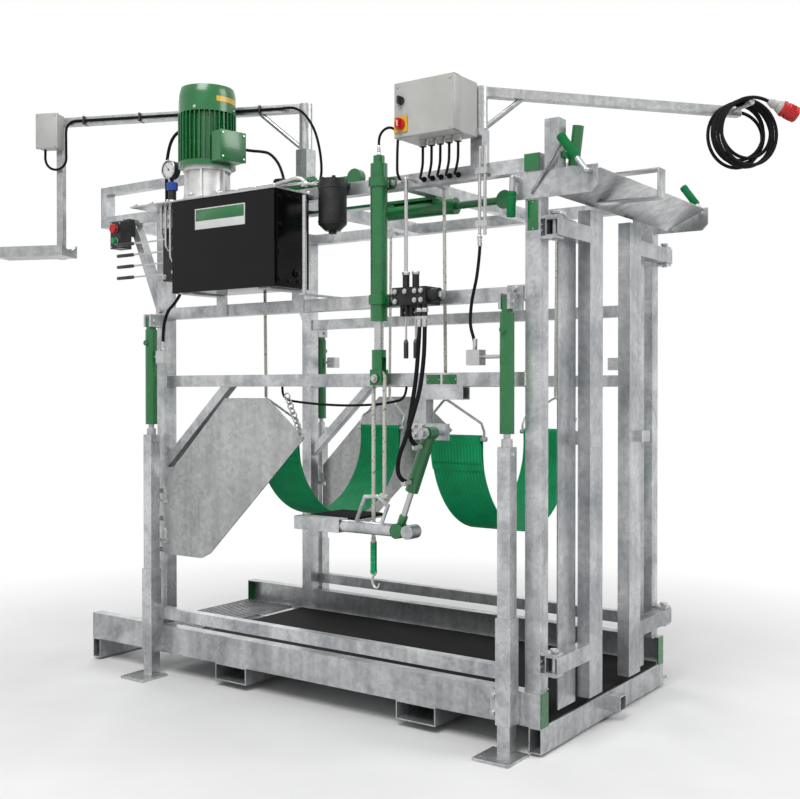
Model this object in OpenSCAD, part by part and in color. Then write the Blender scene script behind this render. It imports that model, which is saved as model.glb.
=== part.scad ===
// Hydraulic hoof trimming chute: a galvanised standing frame on four lifting legs,
// with a swinging head gate, belly belts, hoof supports and its own power pack.
// X runs from the rear entrance to the head gate, -Y is the operator's side.

/* [Base] */
// Length of the base over its cross tubes
base_len = 2400; // [2200:10:2600]
// Width of the base over its side beams
base_w = 1118; // [1060:2:1180]
// Width of a base cross tube along the chute
cross_w = 50; // [40:1:60]
// Height of a base cross tube
cross_h = 90; // [75:1:100]
// Free height under the base tubes
ground_gap = 10; // [6:1:20]
// Height of a side beam
beam_h = 120; // [100:1:140]
// Width of a side beam
beam_w = 54; // [46:1:60]
// Wall of the beams, rails and posts
wall = 4; // [3:0.5:6]
// Inside width of a fork pocket
fork_w = 170; // [150:1:200]
// Inside height of a fork pocket
fork_h = 62; // [55:1:66]
// Distance between the middles of the fork pockets
fork_pitch = 963; // [900:1:1000]
// Outside size of the square front socket
socket_w = 60; // [50:1:70]
// Length of the front socket
socket_len = 60; // [40:1:80]

/* [Floor] */
// Thickness of the floor plate
plate_t = 5; // [3:0.5:8]
// Thickness of the rubber mat
mat_t = 12; // [8:1:20]
// Length of the bar grating at the rear
grating_len = 340; // [260:10:380]
// Number of bars in the grating
grating_bars = 12; // [8:1:16]

/* [Frame] */
// Outside size of a corner post
post_w = 60; // [50:1:64]
// Outside size of a rail
rail_w = 50; // [40:1:54]
// Middle of the front posts, behind the front end of the base
front_inset = 48; // [40:1:60]
// Middle of the rear posts, behind the middle of the base
rear_post_x = 746; // [700:1:800]
// Height of the low rail's underside
low_rail_z = 255; // [240:1:300]
// Height of the middle rail's underside
mid_rail_z = 1296; // [1250:1:1340]
// Height of the upper rail's underside
upper_rail_z = 1600; // [1560:1:1640]
// Height of the top rail's underside
top_rail_z = 2050; // [2030:1:2080]
// Rear ends of the top rails, in front of the rear end of the base
overhang_inset = 40; // [30:5:200]

/* [Legs] */
// Middle of the front legs, behind the middle of the front posts
leg_inset = 68; // [64:1:82]
// Outside size of a leg tube
leg_w = 50; // [44:1:52]
// Gap between a leg and its sleeve, on each side
leg_gap = 0.8; // [0.3:0.1:0.9]
// Wall of a leg sleeve
sleeve_t = 4.2; // [3:0.1:6]
// Height of a sleeve's top edge
sleeve_top = 482; // [420:1:540]
// Height of a leg's top end
leg_top = 1082; // [1000:1:1100]
// Size of a square foot plate
foot_w = 145; // [120:1:160]
// Thickness of a foot plate
foot_t = 10; // [6:1:14]
// Offset of the foot plate away from the chute
foot_out = 45; // [20:1:50]
// Outside diameter of a leg cylinder
leg_cyl_d = 52; // [46:1:58]
// Diameter of a leg cylinder's rod
leg_rod_d = 25; // [20:1:30]
// Running clearance of a rod or pin, on its radius
run_gap = 0.05; // [0.02:0.01:0.09]

/* [Head gate] */
// Width of a gate leaf's upright
gate_tube_w = 108; // [90:1:120]
// Depth of a gate leaf's upright and arms
gate_depth = 50; // [40:1:56]
// Free neck width between the two leaves
neck_gap = 250; // [180:2:300]
// Offset of the neck gap from the middle, to the far side
neck_y = -40; // [-60:2:60]
// Height of the upright's lower end
gate_low = 150; // [140:1:200]
// Height of the upright's upper end
gate_high = 1940; // [1900:1:1944]
// Diameter of a gate hinge pin
gate_pin_d = 20; // [14:1:26]

/* [Power pack] */
// Length of the oil tank
tank_len = 572; // [500:2:572]
// Depth of the oil tank
tank_d = 208; // [180:1:230]
// Height of the oil tank
tank_h = 381; // [340:1:400]
// Diameter of the motor over its fins
motor_d = 242; // [200:2:244]
// Height of the finned part of the motor
motor_h = 222; // [200:1:260]
// Height of the fan cowl
cowl_h = 108; // [80:1:130]
// Height of the bell housing
bell_h = 138; // [120:1:170]
// Number of cooling fins
fin_count = 36; // [24:2:40]

/* [Controls] */
// Width of the control cabinet
cab_w = 252; // [220:1:252]
// Depth of the control cabinet
cab_d = 160; // [130:1:180]
// Height of the control cabinet
cab_h = 195; // [170:1:230]
// Length of a rear valve lever
lever_len = 340; // [260:5:350]
// Spacing of the rear valve levers
lever_pitch = 50; // [40:1:52]

/* [Booms] */
// Size of a boom tube
boom_w = 35; // [30:1:40]
// Length of the cable boom
cable_boom_len = 1075; // [900:5:1150]
// Length of the tool boom
tool_boom_len = 1171; // [1160:1:1200]
// Loops in the hung supply cable
coil_loops = 6; // [4:1:8]
// Diameter of the supply cable
cable_d = 13; // [10:0.5:14]

/* [Belts and lift] */
// Distance between the two ends of a belly belt
belt_span = 760; // [700:5:800]
// Width of a belly belt
belt_w = 230; // [180:5:250]
// Thickness of a belly belt
belt_t = 8; // [5:0.5:10]
// Outside diameter of the rope cylinder
rope_cyl_d = 66; // [58:1:72]
// Diameter of the lift rope
rope_d = 16; // [12:0.5:18]

/* [Hidden] */
$fn = 48;
// Gap that keeps welded pieces apart as separate solids
weld = 0.2;
// Levels of the base and the floor
base_top = ground_gap + cross_h;
beam_top = base_top + beam_h;
deck_top = base_top + plate_t + mat_t;
half_len = base_len / 2;
half_w = base_w / 2;
cap_t = 4;
beam_in = half_w - beam_w;
// Corner posts and rails stand on the middle of each side beam
side_y = half_w - beam_w;
post_out = side_y + post_w / 2;
post_in = side_y - post_w / 2;
front_post_x = half_len - front_inset;
overhang_x = half_len - overhang_inset;
front_leg_x = front_post_x - leg_inset;
post_face = front_post_x + post_w / 2;
rail_in = post_out - rail_w;
roof_top = top_rail_z + rail_w;
rear_face = -rear_post_x + post_w / 2;
front_face = front_post_x - post_w / 2;
low_rail_d = 40;
// Leg sleeves stand outside the side beams on a bracket plate
bracket_t = 8;
sleeve_in = leg_w + 2 * leg_gap;
sleeve_w = sleeve_in + 2 * sleeve_t;
leg_y = half_w + bracket_t + sleeve_w / 2;
rear_leg_x = -rear_post_x;
leg_xs = [front_leg_x, rear_leg_x];
sleeve_low = base_top + 7;
eye_z = leg_top - 28;
leg_pin_d = 16;
leg_cyl_low = leg_top + 46;
leg_cyl_top = upper_rail_z - 48;
leg_travel = 300;
// Head gate hinges
hinge_x = post_face + 41;
arm_h = 60;
arm_zs = [320, 1850];
lug_t = 10;
lug_gap = 0.3;
gate_x0 = hinge_x - gate_depth / 2;
// Front visor and its latch handles
visor_x1 = post_face + 218;
visor_x0 = front_face - 56;
visor_z0 = gate_high + 12;
visor_z1 = top_rail_z - 4;
visor_t = 6;
sheet_half = 512;
// Bent flat bar that guides the neck, welded to the front roof tube and under the sheet
loop_y = -190;
loop_w = 60;
loop_x0 = post_face + 79;
loop_x1 = post_face + 318;
loop_z0 = visor_z0 + 13;
loop_z1 = top_rail_z + 20;
handle_d = 20;
grip_d = 30;
front_pivot = [visor_x1 - 28, visor_z1 - 24];
front_tip = [visor_x1 - 122, visor_z1 + 104];
rear_pivot = [visor_x0 + 24, visor_z1 - 18];
rear_tip = [visor_x0 + 20, visor_z1 - 156];
// Power pack, hung outside the operator's side
tank_x0 = -432;
tank_back = post_out + 17;
tank_z0 = upper_rail_z + rail_w + 36;
tank_z1 = tank_z0 + tank_h;
lid_t = 6;
lid_z = tank_z1 + lid_t;
lid_x0 = -686;
motor_x = -330;
motor_y = -(tank_back + tank_d / 2);
motor_z = lid_z + bell_h;
cowl_z = motor_z + motor_h;
shaft_d = 28;
bank_z = tank_z0 + 100;
bank_x0 = -560;
bank_y = motor_y;
// Mast and cabinet
mast_x = 920;
mast_y = -(post_out + rail_in) / 2;
mast_cap = 6;
mast_top = roof_top + 130;
cab_x0 = 682;
cab_back = post_out + 18;
cab_front = cab_back + cab_d;
cab_z0 = roof_top + 94;
switch_z = cab_z0 + 45;
selector_z = cab_z0 + 130;
switch_x = cab_x0 + 30;
cable_boom_az = 50.9;
cable_boom_z = mast_top + 120;
spindle_d = 40;
spindle_cover = 8;
head_d = 56;
// Tool boom mast stands on a bridge between the top rails
tool_mast = [-45, -353];
bridge_x = 560;
tool_boom_az = 202.8;
tool_boom_z = 2471;
tool_mast_top = 2310;
tool_mast_w = 60;
cradle_z = 1872;
cradle_w = 128;
hanger_w = 30;
// Rope cylinder on the operator's side
rope_x = 510;
rope_y = -(post_out + 40);
rope_cyl_z0 = 1543;
rope_cyl_z1 = 2145;
rope_rod_d = 36;
fork_z = 1300;
fork_h2 = 135;
strand_gap = 26;
hook_z = 519;
// Hoof support under the middle rail
hoof_y = -(post_out + 92);
hoof_pin = [780, 1125];
hoof_end = [642, 758];
hoof_vec = hoof_end - hoof_pin;
hoof_len = norm(hoof_vec);
hoof_tilt = atan2(-hoof_vec[0], -hoof_vec[1]);
hoof_cyl_d = 50;
hoof_rod_d = 22;
hoof_pin_d = 24;
hoof_ports = [-50, -190];
knuckle_d = 56;
hoof_post = [640, 60];
// Side plates
plate_hinge_x = rear_face + 16;
plate_hinge_y = post_out + 21;
side_t = 5;
// Belly belts
belt_y = belt_span / 2;
belt_z = 1085;
belt_xs = [734, -185];
belt_bar_d = 20;
ring_d = 10;
apex_y = 452;
apex_z = 1246;

galv = "silver";
green = "seagreen";
black = "dimgray";

// A box between two corners
module box(low, high) translate(low) cube(high - low);

// A square-cut hollow section between two corners, open along one axis
module hollow(low, high, axis, t = wall) {
  skin = [for (i = [0:2]) i == axis ? -1 : t];
  difference() {
    box(low, high);
    box(low + skin, high - skin);
  }
}

// Children turned so that their Z runs from one point to another
module along(from, to) {
  run = to - from;
  translate(from)
    rotate([0, acos(run[2] / norm(run)), atan2(run[1], run[0])])
      children();
}

// A round bar between two points
module bar(from, to, d) along(from, to) cylinder(d = d, h = norm(to - from));

// A bent round bar through a list of points
module bent_bar(points, d) {
  for (i = [0:len(points) - 2]) bar(points[i], points[i + 1], d);
  for (i = [1:len(points) - 2]) translate(points[i]) sphere(d = d + 1);
}

// A round bar across the chute, between two values of y
module pin_y(x, z, y0, y1, d) translate([x, y0, z]) rotate([-90, 0, 0]) cylinder(d = d, h = y1 - y0);

// A round bar along the chute, between two values of x
module pin_x(y, z, x0, x1, d) translate([x0, y, z]) rotate([0, 90, 0]) cylinder(d = d, h = x1 - x0);

// Children on the operator's side, and mirrored on the far side
module both_sides() {
  children();
  mirror([0, 1, 0]) children();
}

// A closed tube swept along points, with its rings turned by one side vector
function unit(v) = v / norm(v);
function path_dir(p, i) = unit(p[min(i + 1, len(p) - 1)] - p[max(i - 1, 0)]);
function ring_at(p, i, r, sides, side) =
  let (t = path_dir(p, i), u = unit(cross(t, side)), v = cross(t, u))
  [for (k = [0:sides - 1]) p[i] + r * (cos(360 * k / sides) * u + sin(360 * k / sides) * v)];
module swept(p, d, sides, side) {
  n = len(p);
  skin = [for (i = [0:n - 1]) each ring_at(p, i, d / 2, sides, side)];
  walls = [for (i = [0:n - 2]) for (k = [0:sides - 1])
    let (a = i * sides + k, b = i * sides + (k + 1) % sides)
    each [[a, a + sides, b], [b, a + sides, b + sides]]];
  first_cap = [for (k = [1:sides - 2]) [0, k, k + 1]];
  last = (n - 1) * sides;
  last_cap = [for (k = [1:sides - 2]) [last, last + k + 1, last + k]];
  polyhedron(skin, concat(walls, first_cap, last_cap));
}

// Smooth points through a hand-chosen route
function spline(p, i, t) =
  let (a = p[max(i - 1, 0)], b = p[i], c = p[i + 1], e = p[min(i + 2, len(p) - 1)])
  0.5 * (2 * b + (c - a) * t + (2 * a - 5 * b + 4 * c - e) * t * t + (3 * b - a - 3 * c + e) * t * t * t);
function smooth(p, steps) =
  concat([for (i = [0:len(p) - 2]) for (s = [0:steps - 1]) spline(p, i, s / steps)], [p[len(p) - 1]]);

// Open cross tubes under both ends, fork pockets and the square front socket
module base_cross_tubes() color(galv) {
  for (x = [-half_len, half_len - cross_w])
    hollow([x, -half_w, ground_gap], [x + cross_w, half_w, base_top], 1);
  for (x = [-fork_pitch / 2, fork_pitch / 2])
    translate([x + 186, 0, 0])
      hollow([-fork_w / 2 - 5, -half_w, base_top - fork_h - 10], [fork_w / 2 + 5, half_w, base_top], 1, 5);
  hollow([half_len + weld, -socket_w / 2, base_top - socket_w],
         [half_len + socket_len, socket_w / 2, base_top], 0, 5);
}

// Channel beams along both sides, with their webs outside
module base_side_beams() color(galv) both_sides()
  difference() {
    box([-half_len + cap_t, -half_w, base_top], [half_len - cap_t, -beam_in, beam_top]);
    box([-half_len, -half_w + wall, base_top + wall], [half_len, -beam_in + 1, beam_top - wall]);
  }

// Green end caps of the beams, the front roof tube and the rear hoop
module end_caps() color(green) both_sides() {
  box([half_len - cap_t, -half_w, base_top], [half_len, -beam_in, beam_top]);
  box([-half_len, -half_w, base_top], [-half_len + cap_t, -beam_in, beam_top]);
  box([front_face, -post_out - cap_t - 6, top_rail_z], [post_face, -post_out - 6, top_rail_z + post_w]);
  box([-overhang_x - cap_t, -post_out, top_rail_z], [-overhang_x, -rail_in, top_rail_z + 190]);
}

// Steel floor plate with the bar grating behind it
module floor_plate() color(galv) {
  rear = -half_len + cross_w + grating_len;
  box([rear, -beam_in, base_top], [half_len, beam_in, base_top + plate_t]);
  pitch = grating_len / grating_bars;
  for (i = [0:grating_bars - 1])
    box([-half_len + 2 + i * pitch, -beam_in, base_top], [-half_len + 8 + i * pitch, beam_in, deck_top]);
  for (y = [-beam_in / 2, 0, beam_in / 2])
    pin_x(y, base_top + 6, -half_len + 5, rear, 8);
}

// Black rubber mat on the floor plate
module rubber_mat() color(black)
  box([-half_len + cross_w + grating_len + 8, -beam_in + 6, base_top + plate_t],
      [half_len - 8, beam_in - 6, deck_top]);

// Corner posts, gate hinge lugs with their pins, and side plate hinges
module corner_posts() color(galv) both_sides() {
  for (x = [front_post_x, -rear_post_x])
    hollow([x - post_w / 2, -post_out, beam_top], [x + post_w / 2, -post_in, top_rail_z], 2);
  for (z = arm_zs) {
    for (low = [z - arm_h / 2 - lug_gap - lug_t, z + arm_h / 2 + lug_gap])
      difference() {
        box([post_face + weld, -side_y - 26, low], [hinge_x + 20, -side_y + 26, low + lug_t]);
        translate([hinge_x, -side_y, low - 1]) cylinder(d = gate_pin_d + 0.4, h = lug_t + 2);
      }
    translate([hinge_x, -side_y, z - arm_h / 2 - 16]) cylinder(d = gate_pin_d, h = arm_h + 32);
    translate([hinge_x, -side_y, z + arm_h / 2 + 16 + weld]) cylinder(d = gate_pin_d + 12, h = 8);
  }
  box([-rear_post_x - post_w / 2, -post_out - 6, 545], [rear_face - 4, -post_out - weld, 840]);
  for (z = [600, 780]) {
    difference() {
      box([rear_face - 12, -plate_hinge_y - 9, z], [plate_hinge_x + 9, -post_out - 6 - weld, z + 12]);
      translate([plate_hinge_x, -plate_hinge_y, z - 1]) cylinder(d = 12.4, h = 14);
    }
    translate([plate_hinge_x, -plate_hinge_y, z]) cylinder(d = 12, h = 60);
    translate([plate_hinge_x, -plate_hinge_y, z - 6]) cylinder(d = 20, h = 6 - weld);
  }
}

// Side rails on both sides, their braces, the tank's shelves and the hinge strips
module side_rails() color(galv) {
  both_sides() {
    hollow([rear_leg_x + sleeve_w / 2, -post_out - low_rail_d, low_rail_z],
           [front_leg_x - sleeve_w / 2, -post_out, low_rail_z + rail_w], 0);
    for (z = [mid_rail_z, upper_rail_z])
      hollow([rear_face, -post_out, z], [front_face, -rail_in, z + rail_w], 0);
    intersection() {
      box([rear_face, -post_out, 900], [0, -rail_in, mid_rail_z - weld]);
      along([rear_face - 60, -side_y - 5, 905], [-318, -side_y - 5, 1325])
        translate([-20, -20, -50]) cube([40, 40, 900]);
    }
  }
  for (x = [tank_x0 + 40, tank_x0 + tank_len - 100]) {
    box([x, -post_out - 6, upper_rail_z + 4], [x + 60, -post_out, tank_z0 - 6 - weld]);
    box([x, -tank_back - tank_d + 20, tank_z0 - 6], [x + 60, -post_out, tank_z0]);
  }
  for (x = [tank_x0 + 60, tank_x0 + tank_len - 120])
    box([x, -tank_back, top_rail_z - 60], [x + 50, -post_out - weld, top_rail_z + 10]);
}

// Top rails, cross tubes, the rear hoop and struts, both masts and the lifting bridge
module roof_frame() color(galv) {
  both_sides() {
    hollow([-overhang_x, -post_out, top_rail_z], [front_face - weld, -rail_in, roof_top], 0);
    intersection() {
      box([-overhang_x, -side_y - 25, 1600], [-rear_post_x - post_w / 2, -side_y + 15, top_rail_z - weld]);
      along([-rear_post_x, -side_y - 5, 1600], [-960, -side_y - 5, 2080])
        translate([-20, -20, -100]) cube([40, 40, 900]);
    }
    box([-overhang_x, -post_out, roof_top + weld], [-overhang_x + 35, -rail_in, 2205 - weld]);
    hollow([-overhang_x, -post_out, 2205], [-560, -rail_in, 2240], 0, 3);
    box([-590, -post_out, roof_top + weld], [-560, -rail_in, 2205 - weld]);
  }
  hollow([front_face, -post_out - 6, top_rail_z], [post_face, post_out + 6, top_rail_z + post_w], 1);
  for (x = [-overhang_x + 20, -rear_post_x, tool_mast[0] - 30, bridge_x])
    hollow([x, -rail_in + weld, top_rail_z], [x + rail_w, rail_in - weld, roof_top], 1);
  hollow([mast_x - rail_w / 2, -post_out, roof_top + weld],
         [mast_x + rail_w / 2, -rail_in, mast_top - mast_cap - weld], 2);
  spindle([mast_x, mast_y, mast_top], rail_w, cable_boom_z + boom_w - mast_top);
  hollow([tool_mast[0] - tool_mast_w / 2, tool_mast[1] - tool_mast_w / 2, roof_top + weld],
         [tool_mast[0] + tool_mast_w / 2, tool_mast[1] + tool_mast_w / 2, tool_mast_top - mast_cap - weld], 2);
  spindle([tool_mast[0], tool_mast[1], tool_mast_top], tool_mast_w, tool_boom_z + boom_w - tool_mast_top);
  box([cab_x0 + 60, -cab_back, cab_z0 + 8], [mast_x + rail_w / 2, -post_out - weld, cab_z0 + 32]);
}

// A mast's cap plate with the spindle that a boom turns on
module spindle(at, w, boom_top) {
  translate(at - [w / 2, w / 2, mast_cap]) cube([w, w, mast_cap]);
  translate(at - [0, 0, mast_cap / 2]) cylinder(d = spindle_d, h = boom_top + mast_cap / 2 - spindle_cover);
}

// One leg sleeve with its bracket plates and the cylinder bracket above it
module leg_sleeve_set(x) {
  hollow([x - sleeve_w / 2, -leg_y - sleeve_w / 2, sleeve_low],
         [x + sleeve_w / 2, -leg_y + sleeve_w / 2, sleeve_top], 2, sleeve_t);
  box([x - 85, -half_w - bracket_t, sleeve_low], [x + 28, -half_w, beam_top - 6]);
  low = leg_cyl_top + 12;
  for (side = [-1, 1])
    difference() {
      box([x + side * 18 - 5, -leg_y - 24, low], [x + side * 18 + 5, -post_out - 6 - weld, low + 56]);
      pin_x(-leg_y, low + 24, x - 40, x + 40, leg_pin_d + 0.4);
    }
  box([x - 32, -post_out - 6, low], [x + 32, -post_out, low + 90]);
  pin_x(-leg_y, low + 24, x - 30, x + 30, leg_pin_d);
}

// Sleeves that guide the legs, with the brackets that carry the leg cylinders
module leg_sleeves() color(galv) both_sides() for (x = leg_xs) leg_sleeve_set(x);

// Four leg cylinder barrels, each with a gland below and an eye above
module leg_cylinder_barrels() color(green) both_sides() for (x = leg_xs)
  difference() {
    union() {
      translate([x, -leg_y, leg_cyl_low]) cylinder(d = leg_cyl_d, h = leg_cyl_top - leg_cyl_low);
      box([x - 12, -leg_y - 18, leg_cyl_top - 10], [x + 12, -leg_y + 18, leg_cyl_top + 52]);
      translate([x, -leg_y - leg_cyl_d / 2 + 4, leg_cyl_top - 60]) rotate([90, 0, 0]) cylinder(d = 24, h = 14);
    }
    translate([x, -leg_y, leg_cyl_low + 30]) cylinder(d = leg_cyl_d - 12, h = leg_cyl_top - leg_cyl_low - 50);
    translate([x, -leg_y, leg_cyl_low - 1]) cylinder(r = leg_rod_d / 2 + run_gap, h = 40);
    pin_x(-leg_y, leg_cyl_top + 36, x - 40, x + 40, leg_pin_d + 0.4);
  }

// One lifting leg: square tube, foot plate, rod and its cross pin
module leg(x, mirrored) color(galv) mirror([0, mirrored ? 1 : 0, 0]) {
  difference() {
    union() {
      hollow([x - leg_w / 2, -leg_y - leg_w / 2, foot_t - 1], [x + leg_w / 2, -leg_y + leg_w / 2, leg_top], 2);
      box([x - foot_w / 2, -leg_y - foot_out - foot_w / 2, 0],
          [x + foot_w / 2, -leg_y - foot_out + foot_w / 2, foot_t]);
    }
    pin_x(-leg_y, eye_z, x - leg_w, x + leg_w, leg_pin_d + 0.4);
    for (dx = [-1, 1])
      translate([x + dx * (foot_w / 2 - 22), -leg_y - foot_out - foot_w / 2 + 22, -1])
        cylinder(d = 14, h = foot_t + 2);
  }
  difference() {
    union() {
      translate([x, -leg_y, eye_z - 18]) cylinder(d = leg_w - 2 * wall - 2, h = leg_cyl_low - eye_z);
      translate([x, -leg_y, eye_z]) cylinder(d = leg_rod_d, h = leg_cyl_top - eye_z - 60);
      translate([x, -leg_y, leg_cyl_top - 50 - 35]) cylinder(d = leg_cyl_d - 12 - 0.6, h = 30);
    }
    pin_x(-leg_y, eye_z, x - leg_w, x + leg_w, leg_pin_d + 0.4);
  }
  pin_x(-leg_y, eye_z, x - leg_w / 2 - 6, x + leg_w / 2 + 6, leg_pin_d);
}
module leg_front_near() leg(front_leg_x, false);
module leg_rear_near() leg(rear_leg_x, false);
module leg_front_far() leg(front_leg_x, true);
module leg_rear_far() leg(rear_leg_x, true);

// One gate leaf, from its hinge towards the neck gap whose edge it carries
module gate_leaf(edge) {
  inner = edge;
  outer = edge - gate_tube_w;
  hollow([gate_x0, outer, gate_low], [gate_x0 + gate_depth, inner, gate_high], 2);
  for (z = arm_zs)
    difference() {
      hollow([gate_x0, -side_y - 25, z - arm_h / 2], [gate_x0 + gate_depth, outer - weld, z + arm_h / 2], 1);
      translate([hinge_x, -side_y, z - arm_h]) cylinder(r = gate_pin_d / 2 + run_gap, h = 2 * arm_h);
    }
  box([gate_x0 - 6, outer - 156, gate_low - 14], [gate_x0 - weld, outer - 17, arm_zs[1] + 50]);
  box([gate_x0 - 6, outer - 16.8, 1080], [gate_x0 - weld, outer + 30, 1130]);
  translate([gate_x0 + gate_depth + weld, outer - 40, 1075]) cube([22, 80, 45]);
}
module gate_leaf_near() color(galv) gate_leaf(neck_y - neck_gap / 2);
module gate_leaf_far() color(galv) mirror([0, 1, 0]) gate_leaf(-neck_y - neck_gap / 2);

// Visor: two side plates, the inclined sheet, its neck loop and the release upright
module front_visor() color(galv) {
  both_sides() {
    rotate([90, 0, 0]) translate([0, 0, post_out])
      linear_extrude(visor_t)
        difference() {
          polygon([[visor_x0, visor_z0], [visor_x1 - 25, visor_z0], [visor_x1, visor_z0 + 25],
                   [visor_x1, visor_z1], [visor_x0, visor_z1]]);
          translate(front_pivot) circle(d = handle_d + 2 * run_gap);
          translate(rear_pivot) circle(d = handle_d + 2 * run_gap);
        }
    box([post_face + 48, -post_out, visor_z0 + 6], [post_face + 72, -sheet_half - weld, visor_z0 + 12]);
  }
  along([post_face + 50, 0, visor_z0 + 8], [visor_x1 - 8, 0, visor_z1 - 12])
    translate([-2, -sheet_half, 0]) cube([4, 2 * sheet_half, 182]);
  difference() {
    box([post_face, loop_y - loop_w, loop_z0], [loop_x1, loop_y, loop_z1]);
    box([post_face - 1, loop_y - loop_w - 1, loop_z0 + visor_t],
        [loop_x1 - visor_t, loop_y + 1, loop_z1 - visor_t]);
    box([post_face - 1, loop_y - loop_w - 1, loop_z0 - 1], [loop_x0, loop_y + 1, loop_z0 + visor_t + 1]);
  }
  pin_y(spring_from[0], spring_from[2], spring_y - spring_r - 3, -post_out - visor_t, spring_pin_d);
  hollow([post_face + 15, -post_out, top_rail_z - 60], [post_face + 70, -post_out + 55, roof_top + 125], 2);
}

// A bent latch handle on a stub shaft through a visor plate
module latch_handle(pivot, tip) {
  out = post_out + visor_t;
  low = [pivot[0], -out - 30, pivot[1]];
  high = [tip[0], -out - 34, tip[1]];
  pin_y(pivot[0], pivot[1], -out - 30, -sheet_half - 4, handle_d);
  translate(low) sphere(d = handle_d + 1);
  bar(low, high, handle_d);
  bar(low + (high - low) * 0.36, high, grip_d);
}
module latch_handle_near() color(green) {
  latch_handle(front_pivot, front_tip);
  pin_y(spring_to[0], spring_to[2], -post_out - visor_t - 34, spring_y, spring_pin_d);
}
module latch_handle_far() color(green) mirror([0, 1, 0]) latch_handle(front_pivot, front_tip);
module latch_handle_rear() color(green) latch_handle(rear_pivot, rear_tip);

// Tension spring from the visor plate to the near latch handle, one unbroken wire
spring_curls = 44;
spring_wire = 2.2;
spring_r = 6;
spring_pin_d = 8;
spring_y = -post_out - visor_t - 9;
spring_from = [front_post_x, spring_y, visor_z0 + 20];
spring_to = [front_tip[0] + 7, spring_y, front_tip[1] - 9];
spring_len = norm(spring_to - spring_from);
spring_rings = 8;
spring_turns = spring_curls * spring_rings;
spring_end = spring_pin_d / 2 + 0.1;
spring_lead = spring_end + 6.2;
spring_path = concat([[spring_end, -spring_r, 0]],
  [for (i = [0:spring_turns])
    let (a = 270 + 360 * i / spring_rings, w = i / spring_turns)
    [(1 - 2 * w) * spring_lead + spring_r * cos(a), spring_r * sin(a), spring_len * w]],
  [[-spring_end, -spring_r, spring_len]]);
module latch_spring() color(galv)
  along(spring_from, spring_to) swept(spring_path, spring_wire, 6, [0, 0, 1]);

// Black oil tank, a welded box with a clean-out cover
module oil_tank() color(black) {
  difference() {
    box([tank_x0, -tank_back - tank_d, tank_z0], [tank_x0 + tank_len, -tank_back, tank_z1]);
    box([tank_x0 + 3, -tank_back - tank_d + 3, tank_z0 + 3],
        [tank_x0 + tank_len - 3, -tank_back - 3, tank_z1 + 1]);
  }
  box([tank_x0 + tank_len + weld, -tank_back - tank_d + 12, tank_z0 + 14],
      [tank_x0 + tank_len + 8, -tank_back - 12, tank_z1 - 14]);
}

// Galvanised tank lid, reaching back over the rear valves, with the pump under it
module tank_lid() color(galv) {
  difference() {
    box([lid_x0, -tank_back - tank_d - 8, tank_z1], [tank_x0 + tank_len + 12, -tank_back + 8, lid_z]);
    translate([motor_x, motor_y, tank_z1 - 1]) cylinder(d = 60, h = lid_t + 2);
  }
  difference() {
    translate([motor_x, motor_y, tank_z1 - 150]) cylinder(d = 110, h = 150 - weld);
    translate([motor_x, motor_y, tank_z1 - 120]) cylinder(r = shaft_d / 2 + run_gap, h = 160);
  }
}

// Aluminium bell housing between the tank lid and the motor
module bell_housing() color("gainsboro") difference() {
  union() {
    translate([motor_x, motor_y, lid_z]) cylinder(d = 170, h = bell_h);
    translate([motor_x, motor_y, lid_z]) cylinder(d = 200, h = 14);
    translate([motor_x, motor_y, motor_z - 16]) cylinder(d = 200, h = 16);
    for (a = [0:60:300])
      translate([motor_x, motor_y, lid_z]) rotate(a) translate([70, -4, 0]) cube([28, 8, bell_h]);
  }
  translate([motor_x, motor_y, lid_z - 1]) cylinder(d = 120, h = bell_h + 2);
}

// Green finned motor with its fan cowl and terminal box
module motor_body() color(green) {
  difference() {
    union() {
      translate([motor_x, motor_y, motor_z]) cylinder(d = motor_d - 36, h = motor_h);
      translate([motor_x, motor_y, motor_z]) cylinder(d = motor_d - 4, h = 22);
      for (i = [0:fin_count - 1])
        translate([motor_x, motor_y, motor_z + 20]) rotate(360 * i / fin_count)
          translate([motor_d / 2 - 26, -2, 0]) cube([26, 4, motor_h - 20]);
    }
    translate([motor_x, motor_y, motor_z - 1]) cylinder(r = shaft_d / 2 + run_gap, h = motor_h + 2);
  }
  translate([motor_x, motor_y, cowl_z + weld]) rotate_extrude() difference() {
    union() {
      square([motor_d / 2 - 2, cowl_h - 40]);
      intersection() {
        translate([0, cowl_h - 40]) scale(1) circle(r = motor_d / 2 - 2, $fn = 96);
        translate([0, cowl_h - 40]) square([motor_d / 2 - 2, 40]);
      }
    }
    translate([0, -1]) square([motor_d / 2 - 6, cowl_h - 44]);
  }
  rotate_about_motor(-10) box([motor_d / 2 + weld, -62, motor_z + 8], [motor_d / 2 + 62, 62, motor_z + 128]);
}
module rotate_about_motor(a) translate([motor_x, motor_y, 0]) rotate(a) children();

// Motor shaft with its pump coupling and cooling fan
module motor_rotor() color("darkgray") {
  translate([motor_x, motor_y, tank_z1 - 100]) cylinder(d = shaft_d, h = cowl_z + 40 - tank_z1 + 100);
  translate([motor_x, motor_y, lid_z + 30]) cylinder(d = 64, h = 80);
  translate([motor_x, motor_y, cowl_z + 12]) cylinder(d = motor_d - 50, h = 6);
  for (a = [0:45:315])
    translate([motor_x, motor_y, cowl_z + 15]) rotate(a) translate([20, -2, 0]) cube([motor_d / 2 - 48, 4, 26]);
}

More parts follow.
